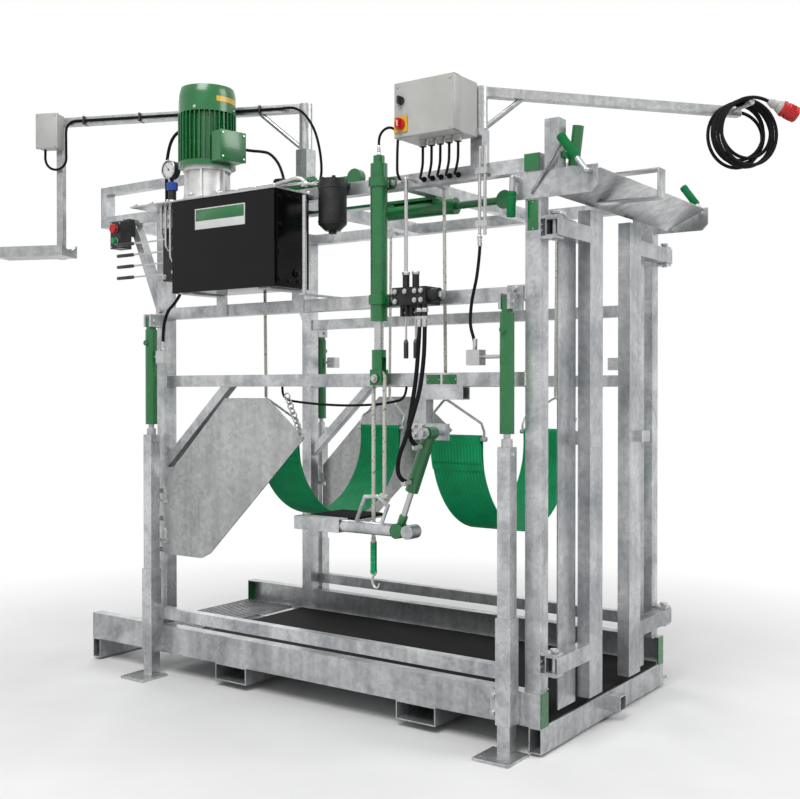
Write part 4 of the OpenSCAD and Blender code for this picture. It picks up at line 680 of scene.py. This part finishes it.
rod(bm, on_dial(0, 0, -675), on_dial(0, 0, -677), 0.0040, 16)
piece("gauge_needle", bm, black_plastic)
bm = bmesh.new()
hoop(bm, [on_dial(38.5, tau * k / 48, -678) for k in range(48)], 0.0028, 10)
plated("gauge_bezel", bm)
bm = bmesh.new()
for axis, low, high, radius in ((gauge_pipe, 2152, 2172, 0.0125), (gauge_pipe, 2074, 2090, 0.0140),
                                (relief_axis, 2074, 2092, 0.0200)):
    rod(bm, mm(*axis, low), mm(*axis, high), radius, 6, round_off=0.001)
plated("gauge_nuts", bm)

# Middle valves and filter: a two lever valve block on the upper rail and a return filter.
# The block is phosphated steel with plated plugs, the filter a painted can on a cast head.
valve_y = -597
lever_rows = (652, 696)
dress(valve_black, "mid_valve_block", "oil_filter")
dress(bright_steel, "mid_lever_1", "mid_lever_2", "steel_pipes")
for i, x in enumerate(lever_rows):
    bm = bmesh.new()
    rod(bm, mm(x, valve_y, 1399), mm(x, valve_y, 1461), 0.0091, 20, round_off=0.003)
    rod(bm, mm(x, valve_y, 1460), mm(x, valve_y, 1470), 0.0091, 20, tip=0.005)
    piece("mid_lever_grip_%d" % (i + 1), bm, black_plastic, "mid_lever_%d_body" % (i + 1))
bm = bmesh.new()
for x, z in ((630, 1646), (674, 1646), (718, 1646), (746, 1646), (630, 1610), (718, 1612), (746, 1612)):
    rod(bm, mm(x, -630, z), mm(x, -641, z), 0.0105, 6, round_off=0.001)
    rod(bm, mm(x, -640, z), mm(x, -645, z), 0.0065, 16, round_off=0.001)
for x in lever_rows:
    rod(bm, mm(x, valve_y, 1710), mm(x, valve_y, 1722), 0.0150, 6, round_off=0.001)
for x in (724, 748):
    rod(bm, mm(x, -615, 1568), mm(x, -615, 1582), 0.0140, 6, round_off=0.001)
rod(bm, mm(802, valve_y, 1630), mm(818, valve_y, 1630), 0.0170, 6, round_off=0.001)
plated("mid_valve_plugs", bm)
filter_axis = (300, -597)
bm = bmesh.new()
for z in (1940, 2070):
    hoop(bm, [mm(*turned(filter_axis, 56.5, tau * k / 48), z) for k in range(48)], 0.002, 8)
for k in range(4):
    hex_bolt(bm, mm(*turned(filter_axis, 40, radians(45 + 90 * k)), 2106), (0, 0, 1))
rod(bm, mm(*filter_axis, 1893), mm(*filter_axis, 1906), 0.016, 6, round_off=0.001)
piece("filter_trim", bm, valve_black)

# Control cabinet: a light grey moulded box with a screwed lid and five cable glands.
# Its main switch is red on a yellow plate, the selector above it black on grey.
grey_enamel = enamel("cabinet_grey", (0.40, 0.40, 0.385), (0.45, 0.45, 0.435), 0.42, peel=0.06, coat=0.1,
                     bare=(0.6, 0.6, 0.6))
red_plastic = moulded("red_moulding", (0.46, 0.008, 0.010), (0.56, 0.014, 0.016), 0.32)
green_plastic = moulded("green_moulding", (0.012, 0.24, 0.05), (0.02, 0.30, 0.07), 0.32)
dress(grey_enamel, "control_cabinet")
dress(red_plastic, "main_switch", "stop_button")
dress(green_plastic, "start_button")
dress(black_plastic, "selector_knob", "start_stop_box")
bm = bmesh.new()
for left, right, bottom, top in ((680.5, 935.5, 2192.5, 2196), (680.5, 935.5, 2387, 2390.5),
                                 (680.5, 684, 2192.5, 2390.5), (932, 935.5, 2192.5, 2390.5)):
    block(bm, mm(left, -712, bottom), mm(right, -672, top), 0.0012)
piece("cabinet_lid_skirt", bm, grey_enamel)
gland_rows = [752 + 38 * i for i in range(5)]
gland_y = -633
bm = bmesh.new()
for x, z in ((696, 2377), (920, 2206), (920, 2377)):
    rod(bm, mm(x, -712.5, z), mm(x, -715, z), 0.0065, 20, round_off=0.001)
for x in gland_rows:
    rod(bm, mm(x, gland_y, 2187), mm(x, gland_y, 2193.8), 0.0150, 6, round_off=0.001)
    rod(bm, mm(x, gland_y, 2168), mm(x, gland_y, 2180), 0.0135, 12, tip=0.0128)
piece("cabinet_screws_and_nuts", bm, grey_enamel)
plate_half = 0.0284
hole_half = 0.0070
bm = bmesh.new()
for k in range(4):
    turn = Matrix.Translation(mm(712, -717.6, 2239)) @ Matrix.Rotation(k * pi / 2, 4, "Y")
    corners = ((-plate_half, -plate_half), (plate_half, -plate_half),
               (hole_half, -hole_half), (-hole_half, -hole_half))
    bm.faces.new([bm.verts.new(turn @ Vector((x, -0.0002, z))) for x, z in corners])
bmesh.ops.remove_doubles(bm, verts=bm.verts, dist=0.00005)
grown = bmesh.ops.extrude_face_region(bm, geom=bm.faces[:])["geom"]
bmesh.ops.translate(bm, vec=(0, 0.0045, 0), verts=[g for g in grown if isinstance(g, bmesh.types.BMVert)])
piece("switch_plate", bm, yellow_plate)
bm = bmesh.new()
block(bm, mm(709.5, -741.5, 2229), mm(714.5, -738.6, 2249), 0.0008)
piece("switch_pointer", bm, white_plate, "main_switch_knob")
bm = bmesh.new()
for button_z in (2018, 1962):
    rim = [turned((-950, button_z), 15, tau * k / 32) for k in range(32)]
    hoop(bm, [mm(x, -627.4, z) for x, z in rim], 0.0014, 8)
for x in (-978, -922):
    for z in (1936, 2044):
        rod(bm, mm(x, -626.5, z), mm(x, -628.5, z), 0.004, 16, round_off=0.0006)
plated("button_rings", bm)

# Lifting gear: the rope cylinder on the rails and the belt hoist cylinders at the roof.
# Barrels and forks are green enamel, and the sheave turns on a pinned axle.
lift_x = 510
lift_y = -575
sheave_z = 1326
dress(green_enamel, "rope_cylinder", "rope_rod", "hoist_cylinders")
bm = bmesh.new()
for z in (1626, 2074):
    for x in (470, 550):
        hex_bolt(bm, mm(x, -543, z), (0, -1, 0), 17)
rod(bm, mm(lift_x, lift_y, 2175), mm(lift_x, lift_y, 2163), 0.0150, 6, round_off=0.001)
plated("rope_cylinder_bolts", bm)
bm = bmesh.new()
for side in (-1, 1):
    hex_bolt(bm, mm(lift_x, lift_y + side * 30, sheave_z), (0, side, 0), 19)
plated("fork_pin_heads", bm, "rope_lift")
bm = bmesh.new()
rod(bm, mm(lift_x, lift_y, 1435.5), mm(lift_x, lift_y, 1690), 0.01815, 40)
plated("rope_rod_chrome", bm, "rope_lift")


# Lift rope: a white braided rope over the sheave, one fall knotted, one on the hook strap.
# The falls hang straight; the strap is doubled webbing sewn round the eye of a forged hook.
def cordage(name, pale, fleck):
    """Braided rope of a pale colour with coloured flecks."""
    material, tree, shader, place = new_finish(name)
    weave = add(tree, "TexVoronoi", Vector=place, Scale=420.0).outputs["Distance"]
    spots = noise(tree, place, 95.0, 2.0)
    body = ramped(tree, weave, (0.1, pale), (0.8, tuple(0.72 * c for c in pale)))
    flecked = mixed(tree, ramped(tree, spots, (0.60, 0.0), (0.66, 0.85)), body, fleck)
    feed(tree, shader, Base_Color=flecked, Roughness=ramped(tree, spots, (0.3, 0.72), (0.7, 0.88)),
         Sheen_Weight=0.3, Normal=bumped(tree, weave, 0.35, 0.001, True))
    return material


def stepped(points, step):
    """A line of points no further apart than step, along straight runs."""
    line = [points[0]]
    for a, b in zip(points, points[1:]):
        count = max(1, round((b - a).length / step))
        line += [a + (b - a) * (i + 1) / count for i in range(count)]
    return line


def plait(i, a):
    """How far a braid's strands stand out at a step and an angle."""
    return 0.95 + 0.05 * cos(4 * a + 0.8 * i) * cos(4 * a - 0.8 * i)


fall_x = 484
tail_x = 536
rope_white = cordage("white_braid", (0.66, 0.65, 0.58), (0.06, 0.16, 0.08))
for name, x, end, far in (("lift_rope_fall", fall_x, 700, "tool"), ("lift_rope_tail", tail_x, 884, "knot")):
    line = stepped([mm(x, lift_y, sheave_z), mm(x, lift_y, end)], 0.003)
    bm = bmesh.new()
    tube(bm, line, 0.008, 16, plait)
    piece(name, bm, rope_white, "rope_lift", 60)
bm = bmesh.new()
arc = [turned((lift_x, sheave_z), 26, pi * k / 40) for k in range(41)]
tube(bm, [mm(x, lift_y, z) for x, z in arc], 0.0079, 16, plait)
bight = piece("lift_rope_bight", bm, rope_white, "rope_lift", 60)
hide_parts("lift_rope")
bm = bmesh.new()
knot = []
for k in range(73):
    a = tau * k / 36
    knot.append(mm(*turned((tail_x, lift_y), 13, a), 858 + 11 * k / 36 + 6 * sin(1.5 * a)))
tube(bm, knot, 0.0078, 12)
rod(bm, mm(tail_x, lift_y, 884), mm(tail_x, lift_y, 838), 0.0079, 12, tip=0.0085)
knot = piece("lift_rope_knot", bm, rope_white, "rope_lift", 60)


def webbing(name, deep, light, ribs):
    """Woven webbing between two shades, with its ribs to a scale."""
    material, tree, shader, place = new_finish(name)
    cloud = noise(tree, place, 14.0, 4.0)
    lines = add(tree, "TexWave", {"bands_direction": "X"}, Vector=place, Scale=ribs, Distortion=0.3,
                Detail=1.0)
    weave = add(tree, "TexVoronoi", Vector=place, Scale=700.0).outputs["Distance"]
    ribbed = ramped(tree, lines.outputs["Fac"], (0.2, 0.45), (0.8, 1.0))
    tone = mixed(tree, 0.5, ramped(tree, cloud, (0.3, deep), (0.7, light)), ribbed, "MULTIPLY")
    feed(tree, shader, Base_Color=tone, Roughness=ramped(tree, weave, (0.1, 0.5), (0.8, 0.72)),
         Specular_IOR_Level=0.25, Normal=bumped(tree, weave, 0.3, 0.0008))
    return material


def ribbon(bm, line, half_width, half_thick, columns, rib):
    """A flat band along a line, its width along X, with lengthwise ribs."""
    across = Vector((1, 0, 0))
    rings = []
    for i, at in enumerate(line):
        out = heading(line, i).cross(across).normalized()
        ring = []
        for side in (1, -1):
            for k in range(columns + 1):
                share = k / columns if side == 1 else 1 - k / columns
                depth = half_thick - (rib if k % 2 else 0.0)
                ring.append(bm.verts.new(at + across * (2 * share - 1) * half_width + out * side * depth))
        rings.append(ring)
    sewn(bm, rings)


belt_green = webbing("green_webbing", (0.001, 0.30, 0.105), (0.002, 0.40, 0.145), 22.0)
loop = [mm(fall_x, -570.5, 700)] + [mm(fall_x, -570.5, 690 - 3 * k) for k in range(33)]
for a in (0.4, 0.8, 1.2, 1.57, 1.94, 2.34, 2.74):
    loop.append(mm(fall_x, lift_y + 6.5 * cos(a), 584 - 9 * sin(a)))
loop += [mm(fall_x, -579.5, 594 + 3 * k) for k in range(36)]
bm = bmesh.new()
ribbon(bm, loop, 0.011, 0.0014, 8, 0.0003)
strap = piece("hook_strap", bm, belt_green, "rope_lift", 50)
bm = bmesh.new()
for z in (618, 640, 662, 684):
    for k in range(6):
        block(bm, mm(475.5 + 3 * k, -581.6, z), mm(477.3 + 3 * k, -568.4, z + 0.8))
rod(bm, mm(fall_x, lift_y, 714), mm(fall_x, lift_y, 694), 0.0092, 20, round_off=0.002)
strap_thread = piece("strap_stitching", bm, rope_white, "rope_lift")
bm = bmesh.new()
eye = [turned((fall_x, 577), 8, tau * k / 24) for k in range(24)]
hoop(bm, [mm(x, lift_y, z) for x, z in eye], 0.0040, 12)
bend = ((484, 571), (478, 556), (479, 540), (486, 527), (497, 521), (507, 527), (511, 541))
shank = smooth([mm(x, lift_y, z) for x, z in bend])
tube(bm, shank, 0.0050, 14, lambda i, a: 1.0 - 0.45 * max(0, (i - 36) / 12))
plated("lift_hook", bm, "rope_lift")


# Belly belts: broad ribbed green webbing, each end turned round a bar and sewn to itself.
# Wire rings carry the bars on white ropes, which go up to pulleys inside the top rails.
def across_belt(x, radius, degrees, middle=(0, 1085)):
    """A point on a circle across the chute, about the middle of the belts' round."""
    return mm(x, *turned(middle, radius, radians(degrees)))


dress(zinc_tube, "belt_bars")
for n, x in ((1, 734), (2, -185)):
    line = [across_belt(x, 382.9, 197 - k) for k in range(16)]
    line += [across_belt(x, 12.7, d, (-380, 1095.2)) for d in range(185, -8, -12)]
    line += [across_belt(x, 368.5 + 8.6 * min(1, k / 8), 182 + 2 * k) for k in range(1, 45)]
    line += [Vector((p.x, -p.y, p.z)) for p in line[-2::-1]]
    bm = bmesh.new()
    ribbon(bm, line, 0.115, 0.0025, 46, 0.0006)
    belt = piece("belly_belt_%d" % n, bm, belt_green, angle=50)
    bm = bmesh.new()
    for side in (-1, 1):
        for d in (192.5, 193.2):
            y, z = turned((0, 1085), 386.2, radians(d))
            for k in range(44):
                left = x - 110 + 5 * k
                block(bm, mm(left, -side * y - 0.8, z - 0.5), mm(left + 3.2, -side * y + 0.8, z + 0.5))
    thread = piece("belt_stitching_%d" % n, bm, belt_green)
    if n == 1:
        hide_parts("belly_belts")
    for side, word in ((-1, "near"), (1, "far")):
        line = stepped([mm(x, side * 452, 1251.4), mm(x, side * 463, 2040.4)], 0.004)
        bm = bmesh.new()
        tube(bm, line, 0.0068, 14, plait)
        hoist = piece("belt_rope_%d_%s" % (n, word), bm, rope_white, angle=60)

# Hoof support: a carriage under the middle rail, its tilting cylinder and the cross tube.
# The foot rests on a steel plate under a thick ribbed rubber pad.
dress(zinc_tube, "hoof_carriage", "hoof_rest")
dress(green_enamel, "hoof_cylinder")
pad_rubber = rubber("pad_rubber", (0.008, 0.008, 0.009), (0.022, 0.022, 0.022), 120.0, 0.15)
bm = bmesh.new()
block(bm, mm(160, -597, 770), mm(370, -357, 782.5), 0.004)
for k in range(12):
    block(bm, mm(168 + 17 * k, -590, 781), mm(175 + 17 * k, -364, 784), 0.0012)
pad = piece("hoof_rest_pad", bm, pad_rubber, "hoof_support")
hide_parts("hoof_pad")
bm = bmesh.new()
for x in (655, 690):
    for z in (1110, 1145):
        hex_bolt(bm, mm(x, -547, z), (0, -1, 0), 17)
rod(bm, mm(780, -669, 1125), mm(780, -675, 1125), 0.012, 6, round_off=0.001)
plated("hoof_carriage_bolts", bm)
foot = mm(642, -627, 758)
along = (mm(780, -627, 1125) - foot).normalized()
bm = bmesh.new()
rod(bm, foot + along * 0.020, foot + along * 0.200, 0.01108, 32)
plated("hoof_rod_chrome", bm, "hoof_support")
bm = bmesh.new()
rod(bm, mm(642, -651.6, 758), mm(642, -602.4, 758), 0.0284, 48, round_off=0.001)
rod(bm, foot + along * 0.026, foot + along * 0.062, 0.0165, 32, round_off=0.001)
piece("hoof_rod_eye", bm, green_enamel, "hoof_support")

# Side plates: cut steel plate on knuckle hinges, one each side, dipped after welding.
# The near one is held closed by a short welded chain, hooked to the middle rail.
zinc_plate = zinc("zinc_on_side_plate", (0.30, 0.305, 0.305), (0.44, 0.45, 0.45), 2.0, 60.0)
dress(zinc_plate, "side_plate_near", "side_plate_far")
bm = bmesh.new()
for side in (-1, 1):
    for z in (560, 700, 825):
        hex_bolt(bm, mm(-746, side * 541, z), (0, side, 0), 17)
plated("side_hinge_bolts", bm)

# Booms: thin square tube on turning heads, one for the trimming tool, one for the cable.
# The tool's boom has a moulded junction box, and rubber lines the cradle on its hanger.
zinc_boom = zinc("zinc_on_booms", (0.34, 0.35, 0.355), (0.50, 0.51, 0.51), 5.0, 75.0)
dress(zinc_boom, "tool_boom", "cable_boom")
at_tool = Matrix.Translation(mm(-45, -353, 0)) @ Matrix.Rotation(radians(202.8), 4, "Z")
bm = bmesh.new()
block(bm, (1.1300, 0.0176, 2.3600), (1.2320, 0.0805, 2.5120), 0.004, at_tool)
block(bm, (1.1275, 0.0700, 2.3575), (1.2345, 0.0840, 2.5145), 0.003, at_tool)
for x in (1.138, 1.224):
    for z in (2.368, 2.504):
        rod(bm, at_tool @ Vector((x, 0.083, z)), at_tool @ Vector((x, 0.0858, z)), 0.005, 16,
            round_off=0.0008)
piece("junction_box", bm, grey_enamel, "tool_arm")
cradle_y = 0.0792
cradle_z = 1.962
cradle_lip = Matrix.Rotation(-0.83, 4, "X") @ Matrix.Translation((0, 0, -0.0763))
liner_start = at_tool @ Matrix.Translation((1.241, cradle_y, cradle_z)) @ cradle_lip
bm = bmesh.new()
bent_strip(bm, liner_start, 0.326, 0.003, at_tool @ Vector((0, cradle_y, cradle_z)),
           at_tool.to_3x3() @ Vector((1, 0, 0)), 1.66)
piece("cradle_liner", bm, mat_rubber, "tool_arm")

# Supply cable: a black rubber five core cable out of the cable boom's open end.
# It hangs on the peg in loose loops, and ends in a red industrial plug with a grey gland.
cable_rubber = rubber("cable_rubber", (0.007, 0.007, 0.008), (0.022, 0.022, 0.022), 900.0, 0.05)
cable_boom = Matrix.Translation(mm(920, -510, 2367.5)) @ Matrix.Rotation(radians(50.9), 4, "Z")
at_peg = cable_boom @ Matrix.Translation((1.035, 0, 0))
loop_radius = 118
peg_y = -36
line = [Vector((20, 0, 0))]
for i in range(17):
    u = i / 16
    a = pi * u / 2
    line.append(Vector((40 + 78 * sin(a), peg_y * u * u * (3 - 2 * u), -101.4 * (1 - cos(a)))))
for k in range(1, 329):
    i = k / 2
    a = radians(-15 * i)
    ease = min(1, i / 26, (164 - i) / 26)
    r = loop_radius + ease * (11 * sin(0.097 * i + 0.6) + 5 * sin(0.217 * i))
    lean = ease * sin(0.131 * i) * (1 - sin(a)) / 2
    y = peg_y - 14 * i / 24 - 36 * max(0, (i - 152) / 12) ** 2 + lean
    line.append(Vector((r * cos(a), y, r * sin(a) - r + 16.6)))
line = [at_peg @ (p / 1000) for p in line]
bm = bmesh.new()
tube(bm, line, 0.0065, 12)
supply = piece("supply_cable", bm, cable_rubber, "cable_arm", 60)
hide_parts("cable_coil")
run = (line[-1] - line[-2]).normalized()
end = line[-1]
side = run.orthogonal().normalized()
up = run.cross(side)


def by_plug(along, radius=0.0, angle=0.0):
    """A point at a distance along the plug, out from its axis at an angle."""
    return end + run * along + (side * cos(angle) + up * sin(angle)) * radius


bm = bmesh.new()
rod(bm, by_plug(-0.004), by_plug(0.012), 0.0100, 20, tip=0.0150, round_off=0.001)
rod(bm, by_plug(0.012), by_plug(0.034), 0.0170, 12, round_off=0.002)
rod(bm, by_plug(0.034), by_plug(0.052), 0.0200, 32, tip=0.0265, round_off=0.001)
gland = piece("plug_gland", bm, grey_enamel, "cable_arm")
bm = bmesh.new()
rod(bm, by_plug(0.050), by_plug(0.118), 0.0280, 40, round_off=0.003)
for start in (0.058, 0.074, 0.108):
    rod(bm, by_plug(start), by_plug(start + 0.006), 0.0305, 40, round_off=0.0015)
for k in range(20):
    a = tau * k / 20
    rod(bm, by_plug(0.081, 0.0282, a), by_plug(0.104, 0.0282, a), 0.0026, 6)
plug = piece("supply_plug", bm, red_plastic, "cable_arm")
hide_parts("power_plug")
bm = bmesh.new()
for k in range(5):
    a = tau * k / 5
    rod(bm, by_plug(0.1175, 0.0165, a), by_plug(0.1191, 0.0165, a), 0.0045, 16)
rod(bm, by_plug(0.1175), by_plug(0.1190), 0.0242, 32, round_off=0.0004)
pins = piece("plug_sockets", bm, black_plastic, "cable_arm")

# Hoses and cables: rubber pressure hoses with crimped ends, and sheathed machine cables.
# They hang between their fittings; two run down to the hoof cylinder, whose arm carries their end fittings.
hose_rubber = rubber("hose_rubber", (0.006, 0.006, 0.007), (0.018, 0.018, 0.018), 700.0, 0.05)
fittings = {"frame": bmesh.new(), "hoof_arm": bmesh.new()}


def crimp(bm, at, out, diameter):
    """A crimped sleeve and its hexagon nut on the end of a hose."""
    rod(bm, at + out * 0.010, at + out * 0.040, diameter * 0.66, 20, round_off=0.0015)
    for start in (0.017, 0.024, 0.031):
        rod(bm, at + out * start, at + out * (start + 0.003), diameter * 0.71, 20, round_off=0.0005)
    rod(bm, at, at + out * 0.012, diameter * 0.80, 6, round_off=0.001)


def hose(name, diameter, route, cable=False, moves=None):
    """A crimped hose or a plain cable along a route, riding on the frame, or on no body if it moves."""
    line = smooth([p if isinstance(p, Vector) else mm(*p) for p in route])
    thick = diameter / 1000
    bm = bmesh.new()
    tube(bm, line, thick / 2, 12)
    made = piece(name, bm, hose_rubber, None if moves else "frame", 60)
    if moves:
        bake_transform(made)
    if not cable:
        crimp(fittings["frame"], line[0], heading(line[:2], 0), thick)
        crimp(fittings["hoof_arm" if moves else "frame"], line[-1], -heading(line[-2:], 1), thick)
    return made


first = hose("hoof_hose_1", 16, (
    (724, -615, 1553.7), (724, -615, 1500), (728, -628, 1425), (740, -660, 1325), (753, -702, 1235),
    (761, -729, 1180), (762, -735, 1144), (762, -726, 1111), (762, -702, 1087), (762, -674, 1078),
    (762, -664.3, 1078)),
    moves=("frame", "hoof_arm", mm(735, -645, 1400), mm(762, -720, 1100)))
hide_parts("hydraulic_hoses")
hose("hoof_hose_2", 16, (
    (748, -615, 1553.7), (748, -615, 1495), (764, -645, 1400), (784, -698, 1290), (783, -740, 1195),
    (767, -761, 1115), (739, -759, 1052), (719, -744, 1008), (713, -730, 978), (713, -706, 956),
    (713, -674, 947), (713, -664.3, 947)),
    moves=("frame", "hoof_arm", mm(770, -650, 1380), mm(713, -720, 970)))
hose("front_leg_hose", 12, (
    (944, -551, 1839.7), (944, -551, 1785), (941, -566, 1690), (934, -588, 1600), (936, -601, 1520),
    (950, -601, 1465), (955, -601, 1440), (955, -601, 1425.3)))
hose("motor_cable", 12, (
    (-168.4, -621.2, 2281), (-164, -596, 2281.5), (-148.5, -567, 2281), (-119, -554, 2277), (-80, -552, 2266),
    (-42, -556, 2240), (-8, -563, 2203), (18, -571, 2158), (31, -577, 2118), (35, -580, 2092),
    (35, -580, 2073.4)),
    cable=True)
hose("gauge_hose", 14, (
    (-640, -600, 2073.4), (-640, -600, 2150), (-638, -600, 2290), (-610, -592, 2390), (-550, -575, 2425),
    (-490, -552, 2395), (-455, -530, 2320), (-445, -515, 2220), (-445, -510, 2140), (-445, -510, 2100.4)))
hose("rear_leg_hose", 14, (
    (-665, -600, 1455.4), (-665, -600, 1510), (-652, -605, 1575), (-612, -618, 1628), (-556, -632, 1660),
    (-515, -639, 1696), (-500, -640, 1732), (-500, -640, 1749.6)))
hose("rope_cylinder_hose", 10, (
    (510, -575, 2175.6), (510, -575, 2205), (510, -575, 2232), (516, -575, 2254.5), (532.5, -575, 2271),
    (555, -575, 2277), (577.5, -576, 2271), (594, -576, 2254.5), (600, -577, 2232), (600, -580, 2180),
    (600, -581, 2113), (600, -575.2, 2091.5), (600, -559.5, 2075.8), (600, -542, 2070), (600, -535.3, 2070)))
hose("rail_cable", 10, (
    (-40, -510, 1295.6), (-40, -510, 1283), (-34, -510, 1260), (-17, -509, 1243), (6, -507, 1237),
    (70, -504, 1230), (170, -501, 1223), (300, -500, 1220), (440, -502, 1225), (500, -505, 1232),
    (544, -508, 1239), (568, -509, 1246), (585, -510, 1263), (592, -510, 1286), (592, -510, 1295.6)),
    cable=True)
gland_drop = ((0, 0, -0.3), (0, 0, -33), (-8, 10, -63), (-30, 33, -88), (-56, 66, -96), (-60, 84, -96),
              (-60, 97.7, -96))
grommets = bmesh.new()
for i, x in enumerate(gland_rows):
    route = [(x + over, gland_y + back, 2168 + drop) for over, back, drop in gland_drop]
    hose("gland_cable_%d" % (i + 1), 10, route, cable=True)
    rod(grommets, mm(x - 60, -535, 2072), mm(x - 60, -540, 2072), 0.0105, 20, round_off=0.0015)
    rod(grommets, mm(x - 60, -540, 2072), mm(x - 60, -548, 2072), 0.0078, 20, tip=0.0060)
piece("cable_grommets", grommets, hose_rubber)
cable_bend = 0.046
along = [(d, 0.024, 2.488) for d in (0.110, 0.160, 0.300, 0.620, 0.900, 1.040, 1.072)]
for a in (0.52, 1.05, 1.57):
    along.append((1.072 + cable_bend * sin(a), 0.024, 2.442 + cable_bend * cos(a)))
along += [(1.118, 0.024, 2.400), (1.118, 0.024, 2.350)]
for a in (0, 0.52, 1.05, 1.57, 2.09, 2.62, 3.14):
    along.append((1.164 - cable_bend * cos(a), 0.024 + 0.006 * a, 2.318 - cable_bend * sin(a)))
along += [(1.210, 0.043, 2.340), (1.210, 0.043, 2.3606)]
along = [at_tool @ Vector(p) for p in along]
rise = [(-15.3, -353, 2150), (8, -353, 2151), (36, -356, 2172), (51, -364, 2220), (50, -376, 2300),
        (34, -392, 2380), (-6, -408, 2447), (-62, -415, 2480)]
hose("tool_cable", 11, rise + along, cable=True, moves=("frame", "tool_arm", mm(-15, -353, 2150), along[1]))
bm = bmesh.new()
for d in (0.20, 0.48, 0.76, 1.03):
    block(bm, (d - 0.004, -0.0184, 2.4700), (d + 0.004, 0.0312, 2.5070), 0.0006, at_tool)
piece("tool_cable_ties", bm, black_plastic, "tool_arm")
plated("hose_crimps", fittings["frame"])
plated("hoof_hose_crimps", fittings["hoof_arm"], "hoof_arm")

# Plates: small plain green plates, riveted to the front post and the middle rail.
# They are thin enamelled steel with a rivet near each end.
bm = bmesh.new()
for x, z, wide, tall in ((1131, 1842, 42, 106), (702, 1303, 62, 36), (774, 1303, 62, 36)):
    block(bm, mm(x, -536.6, z), mm(x + wide, -534.9, z + tall), 0.0006)
piece("plain_plates", bm, green_enamel)
bm = bmesh.new()
for x, z in ((1152, 1848), (1152, 1942), (707, 1321), (759, 1321), (779, 1321), (831, 1321)):
    rod(bm, mm(x, -536.4, z), mm(x, -538, z), 0.003, 14, tip=0.0018, round_off=0.0004)
plated("plate_rivets", bm)

# Fixings: hexagon bolts through the leg brackets, and weld beads where tubes meet.
# The beads were laid before dipping, so zinc covers them like the rest of the frame.
bm = bmesh.new()
for side in (-1, 1):
    for x in (1084, -746):
        for dx in (-72, 14):
            for z in (130, 192):
                hex_bolt(bm, mm(x + dx, side * 567, z), (0, side, 0), 19)
        hex_bolt(bm, mm(x, side * 541, 1640), (0, side, 0), 17)
piece("leg_bracket_bolts", bm, zinc_tube)


def bead(bm, start, end):
    """A rippled weld bead between two points."""
    line = stepped([start, end], 0.0028)
    tube(bm, line, 0.0035, 8, lambda i, a: 1.0 + 0.14 * cos(2.4 * i))


bm = bmesh.new()
for side in (-1, 1):
    outer = side * 535
    for x in (1152, -746):
        for dx in (-30, 30):
            bead(bm, mm(x + dx, outer, 220), mm(x + dx, side * 475, 220))
        bead(bm, mm(x - 30, outer, 220), mm(x + 30, outer, 220))
    for x in (1122, -716):
        for z in (1296, 1346, 1600, 1650):
            bead(bm, mm(x, outer, z), mm(x, side * 485, z))
        for z in (1296, 1600):
            bead(bm, mm(x, outer, z), mm(x, outer, z + 50))
    for z in (310, 330, 1840, 1860):
        bead(bm, mm(1182, side * 531, z), mm(1182, side * 479, z))
piece("frame_welds", bm, zinc_tube)

low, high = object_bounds()
